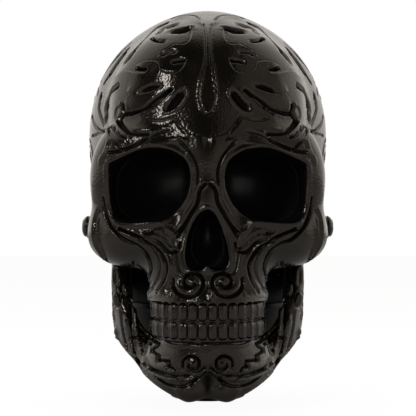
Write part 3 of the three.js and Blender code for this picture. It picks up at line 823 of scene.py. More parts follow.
# Ornament on the head, each line on the skull's right half with its twin. A row gives the view,
# the form, the width and depth in millimetres, the places, and then options. Places of the front
# are pixels of the picture, and the others are millimetres: side (back, up), back (across, up)
# and top (across, back).
FOREHEAD = {
    "teardrop side": ("front", "twin", 1.9, 0.9, (
        (203.6, 24), (204.8, 31), (205.4, 46), (204.6, 61), (202.4, 70.4), (200.4, 82.7),
        (199, 95),
        (200.6, 105), (204, 111.6), (207.7, 114),
    )),
    "crown lobe": ("front", "step", 1.0, 0.9, (
        (203.6, 27), (201, 22.6), (196, 19.2), (188, 17.4), (178, 18), (171, 20),
    )),
    "crown crescent": ("front", "slot", 1.0, 1.8, (
        (173, 18), (181, 15.6), (189, 15), (196, 16.2), (201, 20),
    )),
    "inner crown slot": ("front", "slot", 2.9, 2.5, ((175, 31), (182, 30.2), (188.6, 28.6))),
    "middle crown slot": ("front", "slot", 2.4, 2.4, ((158.2, 33.6), (163, 29), (171, 26))),
    "lower crown slot": ("front", "slot", 2.2, 2.3, ((152, 38.4), (157, 40.6), (163.4, 41.2))),
    "short slot upper": ("front", "slot", 1.9, 2.2, ((162.6, 54.6), (167, 52.6), (174, 52))),
    "short slot lower": ("front", "slot", 1.9, 2.2, ((173, 61.8), (178, 60.6), (183.4, 60.4))),
    "leaf slot": ("front", "slot", 2.0, 2.1, ((137, 68.4), (141, 69.6), (146, 69.4))),
    "crown plate": ("front", "step", 1.4, 0.9, (
        (192, 26), (191.4, 36.5), (188.7, 42), (184, 45), (176, 45), (171, 47), (164, 51.6),
        (158, 57),
    )),
    "disc plate": ("front", "step", 1.4, 0.8, (
        (184.6, 58), (185, 64), (180, 71), (173, 73.6), (165, 72.6), (160, 69), (158, 63),
        (151, 61.2), (143, 62.4), (136, 66),
    )),
    "wave plate": ("front", "step", 1.4, 0.9, (
        (148, 69), (146.6, 71.6), (143.4, 73.4), (136, 73), (126.5, 71), (121.5, 73), (115, 79),
        (108, 86),
    )),
    "outer plate": ("front", "step", 1.4, 0.8, (
        (127, 91), (129.8, 93.7), (126.2, 99.5), (126, 107), (126.5, 114.4),
    )),
    "leaf left": ("front", "slot", 2.8, 2.2, (
        (135.6, 93.6), (144, 90), (153, 87), (163.6, 84.6),
    ), {"pointed": 0.35}),
    "slant groove upper": ("front", "groove", 2.0, 1.9, (
        (171, 89.6), (156, 99.5), (143, 109.5), (131.5, 113.6), (126, 114.6),
    )),
    "slant groove lower": ("front", "groove", 1.4, 1.2, (
        (170, 91.6), (161, 100), (153, 107), (141, 115),
    )),
    "leaf right": ("front", "slot", 4.2, 2.4, (
        (182.8, 90), (178.4, 97), (171.6, 105), (165, 110.6),
    ), {"pointed": 0.2}),
    "leaf right outline": ("front", "ridge", 1.4, 0.9, (
        (186, 88.6), (187, 94.5), (181.4, 104.5), (173, 111.4), (164, 114),
    )),
    "temple slot": ("front", "slot", 2.6, 2.3, (
        (118.6, 85.6), (112, 91), (108.6, 99.5), (107, 108), (106.6, 116),
    )),
    "edge slot": ("front", "slot", 1.9, 2.0, ((101, 95), (99.6, 104), (99.6, 112), (104, 125))),
    "edge wedge": ("front", "slot", 1.6, 1.4, ((101.4, 80), (98.6, 87), (98, 94))),
    "long band upper": ("front", "slot", 1.9, 2.3, (
        (166.5, 23), (155.8, 29), (148.2, 36), (140.5, 43.6), (132.9, 52), (126, 60.5),
    )),
    "long band lower": ("front", "slot", 1.7, 2.3, (
        (128, 49), (122, 57), (113.6, 69), (104.6, 82.6),
    )),
    "long band edge": ("front", "groove", 0.9, 1.0, (
        (130.6, 43.4), (123, 50.6), (113, 62), (104, 75), (101, 82),
    )),
    "side pocket": ("front", "slot", 1.4, 1.9, ((120, 53.6), (114.6, 60), (108.6, 67.6))),
    "curl": ("front", "groove", 3.0, 2.2, (
        (122, 106), (124, 110), (123, 115), (120, 120), (121, 124), (125, 128.6), (132, 133),
        (147, 133.4),
    )),
    "curl plate": ("front", "step", 1.5, 0.6, (
        (147, 136), (131, 136.4), (122, 131), (117, 122), (116, 112), (119, 106), (122, 105),
    )),
    "hanging leaf": ("front", "groove", 1.6, 1.0, (
        (148, 118.6), (154, 120), (160.5, 120.2), (170, 118), (176, 116),
    )),
    "hanging leaf tip": ("front", "step", 1.4, 0.5, (
        (176, 117), (170, 119.4), (160.5, 122), (150, 121), (143, 117), (141, 114),
    )),
    "disc edge": ("front", "step", 1.7, 1.0, (
        (207.7, 137.6), (195, 136), (186, 131.6), (180, 125), (175, 118),
    )),
    "brow swirl": ("front", "twin", 2.6, 0.8, ((175, 120), (180, 127), (186, 134))),
    "brow groove": ("front", "groove", 1.8, 1.7, (
        (168, 131), (158, 133), (149, 137), (140, 143), (129, 148), (118, 151.5), (109, 152.6),
    )),
    "brow edge": ("front", "ridge", 3.0, 0.9, (
        (186, 141), (176, 140), (166, 141.6), (152, 143), (138, 148.6), (124, 155), (108, 161),
    )),
    "brow knot upper": ("front", "groove", 1.6, 1.8, (
        (111, 136), (109.6, 131), (112.6, 128), (116, 132), (121, 137), (126, 138.4),
    )),
    "brow knot middle": ("front", "groove", 1.6, 1.2, ((115, 128), (120, 131), (127.6, 136))),
    "brow knot lower": ("front", "groove", 1.6, 1.7, (
        (109, 147), (112, 142), (117, 144), (121, 149),
    )),
    "temple line": ("front", "step", 1.6, 0.8, (
        (106, 130), (106.6, 142), (103, 152), (99, 158), (98, 166),
    )),
    "temple fork": ("front", "groove", 1.6, 1.6, ((92, 116), (95, 125), (100.6, 131), (107, 131))),
    "temple fork low": ("front", "groove", 1.4, 1.0, ((92, 136), (97, 134.6), (103, 132))),
}

SOCKET_OUTLINE = (
    (108.6, 169), (109, 180), (109.6, 194), (111, 208), (114.6, 217), (123.6, 221.2), (141.4, 221),
    (155.7, 220), (165, 217.6), (177, 208.9), (186, 194.6), (189.4, 177.5), (186, 162.5),
    (177, 154.4), (166.4, 150), (150.4, 149), (132.5, 153.8), (118, 160.4), (110.4, 165.4),
)
NOSE_OUTLINE = (
    (207.6, 210.4), (201, 213), (195.4, 219.6), (189.6, 231), (186.4, 244), (185.2, 256),
    (186.6, 265), (191.4, 269.6), (198, 270.2), (203, 268.6), (206.6, 265), (211, 268.8),
    (219, 270.2), (225, 268.4), (228.6, 262), (228, 250), (225, 238), (221, 227), (216.2, 217),
    (212, 212),
)

FACE = {
    "socket rim": ("front", "rim", 3.2, 1.3, SOCKET_OUTLINE, {"closed": True}),
    "nose rim": ("front", "rim", 2.6, 1.1, NOSE_OUTLINE, {"closed": True, "middle": True}),
    "bridge line": ("front", "groove", 1.5, 1.4, (
        (179, 140), (188, 150), (194.6, 161), (197.6, 172), (197, 184),
    )),
    "bridge ridge": ("front", "ridge", 2.6, 1.6, (
        (202, 182), (197, 190), (194.6, 202), (188, 214), (180, 226), (174, 232),
    )),
    "nose side line": ("front", "groove", 1.6, 1.5, (
        (206, 184), (200, 191), (197.6, 203), (190, 217), (183, 228), (177.6, 237),
    )),
    "socket lower ridge": ("front", "ridge", 2.2, 0.8, (
        (114, 222), (123, 226), (141.4, 224.6), (161, 222.6), (167.6, 229), (174, 234.6),
    )),
    "under socket scroll": ("front", "twin", 3.4, 1.3, (
        (147, 234), (154, 233), (161, 236), (168, 243), (176, 249),
    )),
    "under socket curl": ("front", "groove", 1.6, 1.6, (
        (145, 232.6), (148, 238), (159, 243), (166, 250), (172, 253), (178, 250), (180, 243),
    )),
    "nose knot": ("front", "groove", 1.4, 1.0, ((170, 226), (177, 233), (182, 228))),
    "nose leaf": ("front", "groove", 1.5, 1.1, ((176, 252), (177, 262), (180, 272), (186, 277))),
    "nose leaf edge": ("front", "ridge", 1.4, 0.7, (
        (181, 250), (181, 262), (184, 270), (190, 275),
    )),
    "cheek sweep outer": ("front", "groove", 1.8, 2.0, (
        (102.4, 198), (106, 214), (111.4, 227), (122.6, 238.6), (136, 245), (146.4, 254),
        (151, 266),
        (149.6, 276), (146, 283),
    )),
    "cheek sweep middle": ("front", "groove", 1.7, 2.0, (
        (119, 229), (136, 236), (148, 243.6), (158, 250.6), (165, 261), (166.4, 270), (163.6, 281),
        (157, 291),
    )),
    "cheek sweep inner": ("front", "groove", 1.3, 1.4, (
        (139, 240.6), (149, 246.6), (156.4, 255), (159.6, 266), (158, 277), (152.6, 287),
    )),
    "cheek sweep edge": ("front", "ridge", 2.4, 1.2, (
        (140, 233), (152, 240), (163, 249.6), (169.6, 261), (170.4, 271), (167, 283), (161, 292),
    )),
    "cheek side step": ("front", "step", 1.8, 0.9, (
        (108, 262), (103, 250), (98.6, 240), (97, 230), (98.6, 218), (99, 206),
    )),
    "cheek side groove": ("front", "groove", 1.7, 1.7, (
        (99, 210), (95.6, 224), (96, 240), (102, 254), (107.6, 262),
    )),
    "claw notch left": ("front", "groove", 1.4, 1.2, ((134, 262), (134, 267), (130, 270))),
    "claw notch right": ("front", "groove", 1.4, 1.2, ((134.6, 270), (138, 274), (136, 278))),
    "lip spiral": ("front", "groove", 1.9, 1.9, (
        (172.4, 279), (173.2, 287), (178, 293.6), (185, 296.6), (193, 296), (199.6, 292),
        (203, 285.6), (202.6, 279), (197.6, 274.6), (191, 274), (185.6, 277), (184, 282.4),
        (187, 287.4), (192.4, 288), (195.4, 284.6),
    )),
    "lip spiral ball": ("front", "ridge", 6.0, 1.5, ((189.4, 282), (191.6, 282.6))),
    "lip spiral shoulder": ("front", "ridge", 3.4, 1.1, (
        (177.6, 281), (179, 287.6), (184, 291.6), (191.6, 292), (197.4, 288),
    )),
    "lip bump": ("front", "ridge", 5.0, 1.4, ((212, 292), (212.4, 297)), {"middle": True}),
    "gum ledge": ("front", "ridge", 2.4, 0.9, (
        (149, 301), (160, 301.6), (176, 302), (192, 302), (207.7, 302.4),
    )),
    "gum flute outer": ("front", "slot", 2.0, 1.0, (
        (165, 296), (169, 288), (172, 284),
    ), {"pointed": 0.4}),
    "gum flute inner": ("front", "slot", 1.6, 0.9, ((171, 297), (174, 291)), {"pointed": 0.4}),
    "gum side": ("front", "ridge", 2.0, 0.8, ((150, 300), (148.6, 293), (153, 288))),
}


# The same ornament carried round the sides, back and top, which the picture doesn't show
CROWN_AND_SIDES = {
    "temple sweep": ("side", "twin", 3.0, 1.0, (
        (16, 160), (30, 153), (44, 142), (56, 126), (60, 112),
    )),
    "temple sweep low": ("side", "groove", 2.0, 1.5, (
        (14, 148), (26, 139), (38, 124), (44, 108), (38, 96),
    )),
    "side scroll": ("side", "groove", 2.4, 1.8, [
        (26, 124), (22, 132), (12, 136), *spiral((4, 126), 11, 60, 1.3),
    ]),
    "side slot one": ("side", "slot", 2.6, 2.2, ((16, 178), (28, 172), (38, 164))),
    "side slot two": ("side", "slot", 2.6, 2.2, ((46, 156), (55, 144), (60, 134))),
    "side leaf": ("side", "slot", 3.2, 2.0, ((26, 112), (31, 102), (29, 92)), {"pointed": 0.3}),
    "arch groove": ("side", "groove", 2.0, 1.2, (
        (-40, 92), (-24, 95), (-6, 97), (12, 97), (26, 92),
    )),
    "ear scroll": ("side", "groove", 2.4, 1.6, [
        (40, 92), (33, 84), *spiral((25, 72), 9, 60, -1.3),
    ]),
    "nape slot": ("side", "slot", 2.4, 2.0, ((46, 84), (54, 76), (58, 66))),
    "temple curl": ("side", "groove", 2.0, 1.6, [
        (4, 100), (-8, 102), (-18, 109), *spiral((-14, 122), 9, 250, -1.2),
    ]),
    "temple drop": ("side", "slot", 3.0, 2.0, ((4, 116), (6, 108), (14, 104)), {"pointed": 0.35}),
    "crown bar": ("top", "slot", 2.4, 1.8, ((-3.4, 9), (0, 8.4))),
    "crown line": ("top", "twin", 3.0, 0.9, ((-4.4, 20), (-3.4, 34), (-3, 48), (-4, 60))),
    "crown slot one": ("top", "slot", 2.8, 2.3, ((-17, 18), (-19, 28), (-17, 38))),
    "crown slot two": ("top", "slot", 2.8, 2.3, ((-32, 14), (-33, 24), (-30, 34))),
    "crown plate step": ("top", "step", 1.8, 0.8, (
        (-10, 14), (-11, 26), (-24, 40), (-22, 52), (-10, 58),
    )),
    "back teardrop": ("back", "twin", 2.6, 0.8, (
        (-3, 184), (-3, 170), (-6, 150), (-9.6, 134), (-8, 124), (-3, 118.6), (0, 117.6),
    )),
    "back scroll": ("back", "groove", 2.6, 1.8, [
        (-14, 106), (-24, 108), (-33, 116), *spiral((-30, 130), 11, -70, 1.3),
    ]),
    "back slot one": ("back", "slot", 2.8, 2.2, ((-14, 174), (-21, 170), (-27, 164))),
    "back slot two": ("back", "slot", 2.6, 2.2, ((-14, 160), (-19, 153), (-21, 145))),
    "back outer slot": ("back", "slot", 2.6, 2.2, ((-43, 126), (-46, 116), (-44, 106))),
    "back middle leaf": ("back", "slot", 3.2, 2.0, (
        (-14, 140), (-19, 132), (-18, 122),
    ), {"pointed": 0.35}),
    "back leaf": ("back", "slot", 3.6, 2.0, ((-27, 104), (-20, 99), (-10, 96)), {"pointed": 0.3}),
    "back low sweep": ("back", "twin", 3.0, 1.0, (
        (0, 90), (-14, 91), (-28, 87), (-38, 78), (-40, 68),
    )),
    "back low groove": ("back", "groove", 2.0, 1.3, (
        (0, 80), (-12, 81), (-24, 77), (-30, 69), (-30, 60),
    )),
    "back plate": ("back", "step", 1.8, 0.8, (
        (-8, 184), (-19, 180), (-33, 172), (-36, 160), (-30, 150),
    )),
}


def bare_head():
    """The head's outer form, with its surface even and smooth."""

    def rule(points):
        return first_reach(points / np.linalg.norm(points, axis=1)[:, None], 0)

    return ball("head_form", rule, 7)


def head_lead(points):
    """The directions that lead out of the bone."""
    return bone(points)[1]


def carved_head():
    """The whole head with its ornament, which both shells are cut from."""
    head = bare_head()
    strokes = laid({**FOREHEAD, **FACE, **CROWN_AND_SIDES}, head.data)
    fine, rounds = ((FINE, 4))
    refined(head.data, strokes, fine, rounds, settled)
    carved(head, strokes, head_lead)
    return head


# Openings


def on_curve(outline, angles, centre):
    """The outline's places at angles round a centre."""
    path = smooth_path(outline, 0.5, closed=True)
    away = path - centre
    turn = np.arctan2(-away[:, 1], away[:, 0])
    order = np.argsort(turn)
    turn, reach = turn[order], np.linalg.norm(away, axis=1)[order]
    turn = np.concatenate((turn - 2 * np.pi, turn, turn + 2 * np.pi))
    reach = np.tile(reach, 3)
    found = np.interp(angles, turn, reach)
    return np.stack((centre[0] + found * np.cos(angles), centre[1] - found * np.sin(angles)), 1)


def rounded(c, power):
    """Shares from -1 to 1 bent so that a ball turns squarer or more pointed."""
    return np.sign(c) * np.abs(c) ** power


def eye_place(points, grow):
    """The rule of the eye bowl, on points of a ball of radius 1."""
    across = rounded(points[:, 0], EYE_SQUARENESS) * (EYE_HALF[0] + grow)
    up = rounded(points[:, 2], EYE_SQUARENESS) * (EYE_HALF[2] + grow)
    inward = np.maximum(points[:, 1], 0)
    x = EYE[0] + across - inward * EYE_HALF[1] * EYE_TURN
    y = EYE[1] + points[:, 1] * (EYE_HALF[1] + grow)
    return np.stack((x, y, EYE[2] + up - across * EYE_DROOP), 1)


def nose_place(points, grow):
    """The rule of the nose bowl: a pear seen from the front."""
    rise = np.clip((points[:, 2] + 1) / 2, 0, 1) ** NOSE_TAPER
    x = points[:, 0] * (NOSE_HALF[0] * (1 + (NOSE_TOP_SHARE - 1) * rise) + grow)
    y = NOSE[1] + points[:, 1] * (NOSE_HALF[1] + grow)
    z = NOSE[2] + NOSE_HALF[2] + points[:, 2] * (NOSE_HALF[2] + grow)
    return np.stack((x, y, z), 1)


EYE_RIM = EYE[1] + CUP_SETBACK
NOSE_RIM = NOSE[1] + CUP_SETBACK


def bowl(place, grow, subdivisions=5):
    """The room in a socket or in the nose, grown by so much."""
    return ball("bowl", lambda p: place(p, grow), subdivisions)


def mouth(outline, side, place, rim, depth):
    """The solid that is taken out of the bone from the outline seen in front back to the cup."""
    count = 96
    before_face = 40
    before_rim = 4
    angles = np.linspace(0, 2 * np.pi, count, endpoint=False)
    centre = np.mean(outline, axis=0)
    seen = on_curve(outline, angles, centre)
    start, face = [], []
    for spot in seen:
        origin, direction = front_ray(spot)
        start.append(origin + direction * (CAMERA_TO_FRONT - before_face))
        face.append(origin + direction * CAMERA_TO_FRONT)
    inward = (rim - place(np.array([[0, 0, 0.0]]), 0)[0, 1]) / depth
    reach = math.sqrt(max(1 - inward**2, 0))
    flat = np.stack((reach * np.cos(angles), np.full(count, inward), reach * np.sin(angles)), 1)
    back = place(flat, 0)
    back[:, 0] *= side
    if side < 0:
        across, up = back[:, 0] - back[:, 0].mean(), back[:, 2] - back[:, 2].mean()
        back = back[np.argsort(np.arctan2(up, across) % (2 * np.pi))]
    face = np.array(face)
    between = face * 0.45 + back * 0.55
    between[:, 1] = back[:, 1] - before_rim
    return loft("mouth", [np.array(start), face, between, back, back + (0, 1, 0)])


def collar(place, rim):
    """The bone that holds a cup."""
    return overlap(bowl(place, CUP_WALL + GAP + WALL, 4), in_front(rim + COLLAR))


def seat(place, rim):
    """The room behind the rim that a cup fills, with its hollow."""
    return cut(bowl(place, CUP_WALL + GAP), in_front(rim - GAP))


def cup(place, rim):
    """The thin shell that closes an opening from behind."""
    shell = cut(bowl(place, CUP_WALL), bowl(place, 0))
    return cut(shell, in_front(rim))


# The dental arch


def arch_place(turn, inset):
    """Places on the arch at angles from the middle, so far behind the face of the teeth."""
    return np.stack((
        np.sin(turn) * (ARCH_HALF - inset),
        ARCH_MIDDLE - np.cos(turn) * (ARCH_DEPTH - inset),
    ), 1)


def arch_band(outer, inner, low, high):
    """A horseshoe band between two depths behind the face of the teeth."""
    bm = bmesh.new()
    bmesh.ops.create_cube(bm, size=2)
    lengthwise = [e for e in bm.edges if abs(e.verts[0].co.x - e.verts[1].co.x) > 1]
    bmesh.ops.subdivide_edges(bm, edges=lengthwise, cuts=47, use_grid_fill=True)

    def rule(points):
        turn = points[:, 0] * np.pi / 2
        place = arch_place(turn, np.where(points[:, 1] < 0, outer, inner))
        return np.column_stack((place, np.where(points[:, 2] < 0, low, high)))

    moved(bm, rule)
    faced_out(bm)
    return to_object(bm, "band")


def tenon(slack, low, high):
    """The key that joins a row of teeth to the bone, or its slot."""
    middle = TOOTH_THICKNESS / 2
    return arch_band(middle - TENON / 2 - slack, middle + TENON / 2 + slack, low, high)


# Materials


class Tree:
    """The node tree of a material or a world, whose nodes are added ready wired."""

    def __init__(self, owner):
        owner.use_nodes = True
        self.nodes = owner.node_tree.nodes
        self.links = owner.node_tree.links

    def wire(self, node, inputs):
        """Links inputs of a node to outputs of others, or sets them to numbers or colours."""
        for name, source in inputs.items():
            if isinstance(source, bpy.types.NodeSocket):
                self.links.new(source, node.inputs[name])
            else:
                node.inputs[name].default_value = source

    def add(self, kind, output, inputs=None, **settings):
        """Adds a node with its settings and inputs, and gives one of its outputs."""
        node = self.nodes.new("ShaderNode" + kind)
        for name, value in settings.items():
            setattr(node, name, value)
        self.wire(node, inputs or {})
        return node.outputs[output]

    def math(self, operation, *sources):
        return self.add("Math", 0, dict(enumerate(sources)), operation=operation)

    def noise(self, place, scale, detail):
        return self.add("TexNoise", "Fac", {"Vector": place, "Scale": scale, "Detail": detail})

    def spread(self, source, start, end, low, high, **settings):
        """A number taken from one range to another."""
        return self.add("MapRange", "Result", {
            "Value": source, "From Min": start, "From Max": end, "To Min": low, "To Max": high,
        }, **settings)

    def mixed(self, share, first, second):
        """A mix of two colours."""
        inputs = {"Factor": share, "A": first, "B": second}
        return self.add("Mix", "Result", inputs, data_type="RGBA")

    def tinted(self, source, start, first, end, second):
        """A colour that goes from one to another as a number rises."""
        node = self.nodes.new("ShaderNodeValToRGB")
        for stop, place, colour in zip(node.color_ramp.elements, (start, end), (first, second)):
            stop.position = place
            stop.color = (*colour, 1)
        self.wire(node, {"Fac": source})
        return node.outputs["Color"]

    def grained(self, height, strength, distance):
        """A fine relief of the surface."""
        inputs = {"Strength": strength, "Distance": distance, "Height": height}
        return self.add("Bump", "Normal", inputs)


def glossy(name, dark, warm, roughness, grain, carving):
    """Moulded gloss resin: varying gloss, fine orange peel, and rougher recesses with painted
    shade.
    """
    material = bpy.data.materials.new(name)
    tree = Tree(material)
    shader = tree.nodes["Principled BSDF"]
    place = tree.add("TexCoord", "Object")
    base = tree.tinted(tree.noise(place, 55, 3), 0.3, dark, 0.75, warm)
    gloss = tree.spread(tree.noise(place, 18, 4), 0.3, 0.7, roughness * 0.75, roughness * 1.35)
    if carving:
        # Depth of the carving in millimetres, from where a recess starts to where it is full
        depth = tree.add("Attribute", "Fac", attribute_name="carving")
        hollow = tree.spread(depth, -0.7, -1.5, 0, 1)
        # Painted shade in the recesses: the colour darkens to a third and the reflection weakens,
        # and the gloss also roughens there
        base = tree.mixed(hollow, base, (*[c * 0.35 for c in dark], 1))
        gloss = tree.math("MULTIPLY_ADD", hollow, 0.45, gloss)
        tree.wire(shader, {"Specular IOR Level": tree.spread(hollow, 0, 1, 0.5, 0.06)})
    tree.wire(shader, {
        "IOR": 1.46,
        "Specular Tint": (1, 0.91, 0.82, 1),
        "Base Color": base,
        "Roughness": gloss,
        "Normal": tree.grained(tree.noise(place, 900, 1), grain, 0.00018),
    })
    return material


def satin(name, dark, light, scale, roughness, relief, metallic=0.0, shine=0.5):
    """A plainer finish with a mottled colour, a grain and a little variation of gloss."""
    material = bpy.data.materials.new(name)
    tree = Tree(material)
    grain = tree.noise(tree.add("TexCoord", "Object"), scale, 5)
    tree.wire(tree.nodes["Principled BSDF"], {
        "Metallic": metallic,
        "Specular IOR Level": shine,
        "Base Color": tree.tinted(grain, 0.35, dark, 0.7, light),
        "Roughness": tree.spread(grain, 0, 1, roughness * 0.8, roughness * 1.2),
        "Normal": tree.grained(grain, relief, 0.0002),
    })
    return material


def kept(name, maker):
    """A material of this name, made the first time that it is asked for."""
    return bpy.data.materials.get(name) or maker(name)


def gloss_finish(name, colour, lighter, carving):
    """The gloss finish in one colour, and in a lighter one where it is mottled."""
    looks = bpy.context.scene.skull_looks
    dark = np.array(colour)
    return kept(name, lambda name: glossy(
        name, tuple(dark), tuple(dark * lighter), looks.gloss, looks.orange_peel, carving
    ))


def shell_finish():
    colour = bpy.context.scene.skull_looks.shell_colour
    # The shell's finish carries the painted shade in its recesses
    return gloss_finish("gloss black shell", colour, (1.7, 1.6, 1.5), True)


def tooth_finish():
    colour = bpy.context.scene.skull_looks.tooth_colour
    return gloss_finish("gloss black teeth", colour, (1.8, 1.7, 1.5), False)


# Settings


class SkullSizes(bpy.types.PropertyGroup):
    """Sizes of the details that are carved or added."""

    relief: FloatProperty(
        name="Relief", description="Depth of the ornament over the usual depth", default=1.0,
        min=0, max=1.5,
    )
    tooth_count: IntProperty(
        name="Teeth in a row", description="Teeth in each row", default=16, min=8, max=20,
    )
    knob_turns: FloatProperty(
        name="Knob turns", description="Turns of the scroll on each side knob", default=1.6,
    )


class SkullLooks(bpy.types.PropertyGroup):
    """Colours and gloss."""

    shell_colour: FloatVectorProperty(
        name="Shell", description="Colour of the skull", subtype="COLOR", min=0, max=1,
        default=(0.0021, 0.0018, 0.0014),
    )
    tooth_colour: FloatVectorProperty(
        name="Teeth", description="Colour of the teeth", subtype="COLOR", min=0, max=1,
        default=(0.0026, 0.0022, 0.0017),
    )
    cup_colour: FloatVectorProperty(
        name="Socket cups", description="Colour of the cups", subtype="COLOR", min=0, max=1,
        default=(0.0012, 0.0012, 0.0012),
    )
    gloss: FloatProperty(
        name="Gloss", description="Roughness of the polished surface", default=0.16,
        min=0.02, max=1,
    )
    orange_peel: FloatProperty(
        name="Orange peel", description="Strength of the fine waves", default=0.8, min=0, max=1,
    )


# Operators


def corner(side, end):
    """Where a screw joins the stand to a post in the head."""
    return side * STAND_HALF[0] / 2, STAND[1] + end * STAND_HALF[1] / 2, 0


CORNERS = [corner(side, end) for side in (1, -1) for end in (1, -1)]


def head_hollow():
    """The room inside both shells, less what stands in it."""
    hollow = ball("hollow", lambda p: first_reach(p, WALL), 5)
    cut(hollow, below(BASE + WALL))
    cut(hollow, block((-FAR, -FAR, -FAR), (FAR, POCKET_FRONT + WALL, GUM + GUM_THICKNESS)))
    cut(hollow, *both(collar(eye_place, EYE_RIM)), collar(nose_place, NOSE_RIM))
    for inner, height in ((WALL, POCKET_TOP + WALL), (3 * WALL, PIVOT[2] - EYELET)):
        low = (POCKET_INNER - inner, POCKET_FRONT - WALL, -FAR)
        cut(hollow, *both(block(low, (FAR, POCKET_REAR + WALL, height))))
    return cut(hollow, *[bar(2, POST, BASE, POST_TOP, place) for place in CORNERS])


def room_for_jaw(head):
    """Cuts the pockets that the jaw's upright plates swing in, and the pins' bores."""
    pocket = block((POCKET_INNER, POCKET_FRONT, -FAR), (POCKET_OUTER, POCKET_REAR, POCKET_TOP))
    cut(head, *both(pocket))
    for bore, start in ((PIN + GAP, POCKET_INNER - 2 * WALL), (KNOB + GAP, PIN_SEAT)):
        cut(head, *both(bar(0, bore, start, FAR, PIVOT)))


def room_for_cups(head):
    """Cuts the sockets and the nose, and the seats of the cups behind them."""
    for side, outline in ((-1, SOCKET_OUTLINE), (1, mirrored_outline(SOCKET_OUTLINE))):
        cut(head, mouth(outline, side, eye_place, EYE_RIM, EYE_HALF[1]))
    cut(head, mouth(NOSE_OUTLINE, 1, nose_place, NOSE_RIM, NOSE_HALF[1]))
    cut(head, *both(seat(eye_place, EYE_RIM)), seat(nose_place, NOSE_RIM))


def parted(head):
    """Parts the head into the face shell, which is returned first, and the rear shell."""
    outer = ball("lap", lambda p: first_reach(p, WALL / 2 - GAP / 2), 5)
    inner = ball("lap", lambda p: first_reach(p, WALL / 2 + GAP / 2), 5)
    rear = copied(head)
    cut(head, behind(PARTING - GAP / 2), cut(outer, in_front(PARTING - LAP - GAP)))
    lip = cut(overlap(copied(rear), inner, in_front(PARTING + LAP)), in_front(PARTING - LAP))
    cut(rear, in_front(PARTING + GAP / 2))
    return head, join(rear, lip)


class SKULL_OT_head(bpy.types.Operator):
    """Makes the two carved shells of the head"""

    bl_idname = "skull.head"
    bl_label = "Head Shells"

    def execute(self, context):
        head = carved_head()
        cut(head, below(BASE), block((-FAR, -FAR, -FAR), (FAR, POCKET_FRONT, GUM)), head_hollow())
        room_for_jaw(head)
        for place in CORNERS:
            cut(head, bar(2, SCREW_HOLE, 0, POST_TOP - WALL, place, HOLE_SIDES))
        head, rear = parted(head)
        room_for_cups(head)
        cut(head, tenon(GAP, GUM - OVERSHOOT, GUM + TENON), palate())
        for shell, node in ((head, "face_shell"), (rear, "rear_shell")):
            finished(
                shell, "carved_" + node, "skull", shell_finish(), (node,),
                CARVED_ANGLE,
            )
            dulled_and_shaded_inside(shell)
        return {"FINISHED"}


def mirrored_outline(outline):
    """An outline of the picture on the other side of the middle of the face."""
    middle = IMAGE_SIDE / 2 - CAMERA[0] * FOCAL_PX / CAMERA_TO_FRONT
    return [(2 * middle - x, y) for x, y in outline]


def palate():
    """The vault over the mouth."""
    inset = TOOTH_THICKNESS + WALL

    def rule(points):
        x = points[:, 0] * (ARCH_HALF - inset)
        y = ARCH_MIDDLE + points[:, 1] * (ARCH_DEPTH - inset)
        return np.stack((x, y, GUM + points[:, 2] * (GUM_THICKNESS - WALL)), 1)

    return overlap(ball("palate", rule, 4), in_front(POCKET_FRONT))


class SKULL_OT_cups(bpy.types.Operator):
    """Makes the cups behind the sockets and the nose"""

    bl_idname = "skull.cups"
    bl_label = "Socket and Nose Cups"

    def execute(self, context):
        looks = context.scene.skull_looks
        dark = np.array(looks.cup_colour)
        finish = kept("satin black cup", lambda name: satin(
            name, tuple(dark), tuple(dark * 2.2), 900, 0.42, 0.25
        ))
        left = cup(eye_place, EYE_RIM)
        for made, side in ((twin(left), "right"), (left, "left")):
            name = f"{side}_socket_cup"
            finished(made, "smooth_" + name, "skull", finish, (name,))
        nose = cup(nose_place, NOSE_RIM)
        finished(nose, "smooth_nose_cup", "skull", finish, ("nose_cup",))
        return {"FINISHED"}


# The jaw, a strip between its lower and upper borders, chin to pivot, as shares of the head
LOWER_BORDER = (
    (0, -0.48, 0.01), (0.09, -0.474, 0.003), (0.15, -0.446, 0.014), (0.204, -0.4, 0.03),
    (0.251, -0.338, 0.049), (0.287, -0.262, 0.072), (0.324, -0.18, 0.096), (0.366, -0.1, 0.118),
    (0.39, -0.036, 0.15), (0.394, 0, 0.21), (0.394, 0.018, 0.28), (0.394, 0.018, 0.352),
)
UPPER_BORDER = (
    (0.307, -0.214, 0.165), (0.352, -0.19, 0.21), (0.381, -0.167, 0.26), (0.394, -0.143, 0.305),
    (0.394, -0.107, 0.365), (0.394, -0.075, 0.412),
)
GUM_TURN_SHARES = (0, 0.24, 0.46, 0.66, 0.84, 0.98)


def border(places):
    """Both halves of a border, from the right pivot over the chin to the left pivot."""
    places = np.array(places)
    return np.vstack((places[:0:-1] * (-1, 1, 1), places))


def on_border(places, share):
    """Places on a smooth line through a border's points, at shares of its count."""
    knots = np.vstack((2 * places[0] - places[1], places, 2 * places[-1] - places[-2]))
    step = np.clip(share, 0, 1) * (len(places) - 1)
    first = np.minimum(step.astype(int), len(places) - 2)
    t = (step - first)[:, None]
    return curved(*(knots[first + i] for i in range(4)), t)


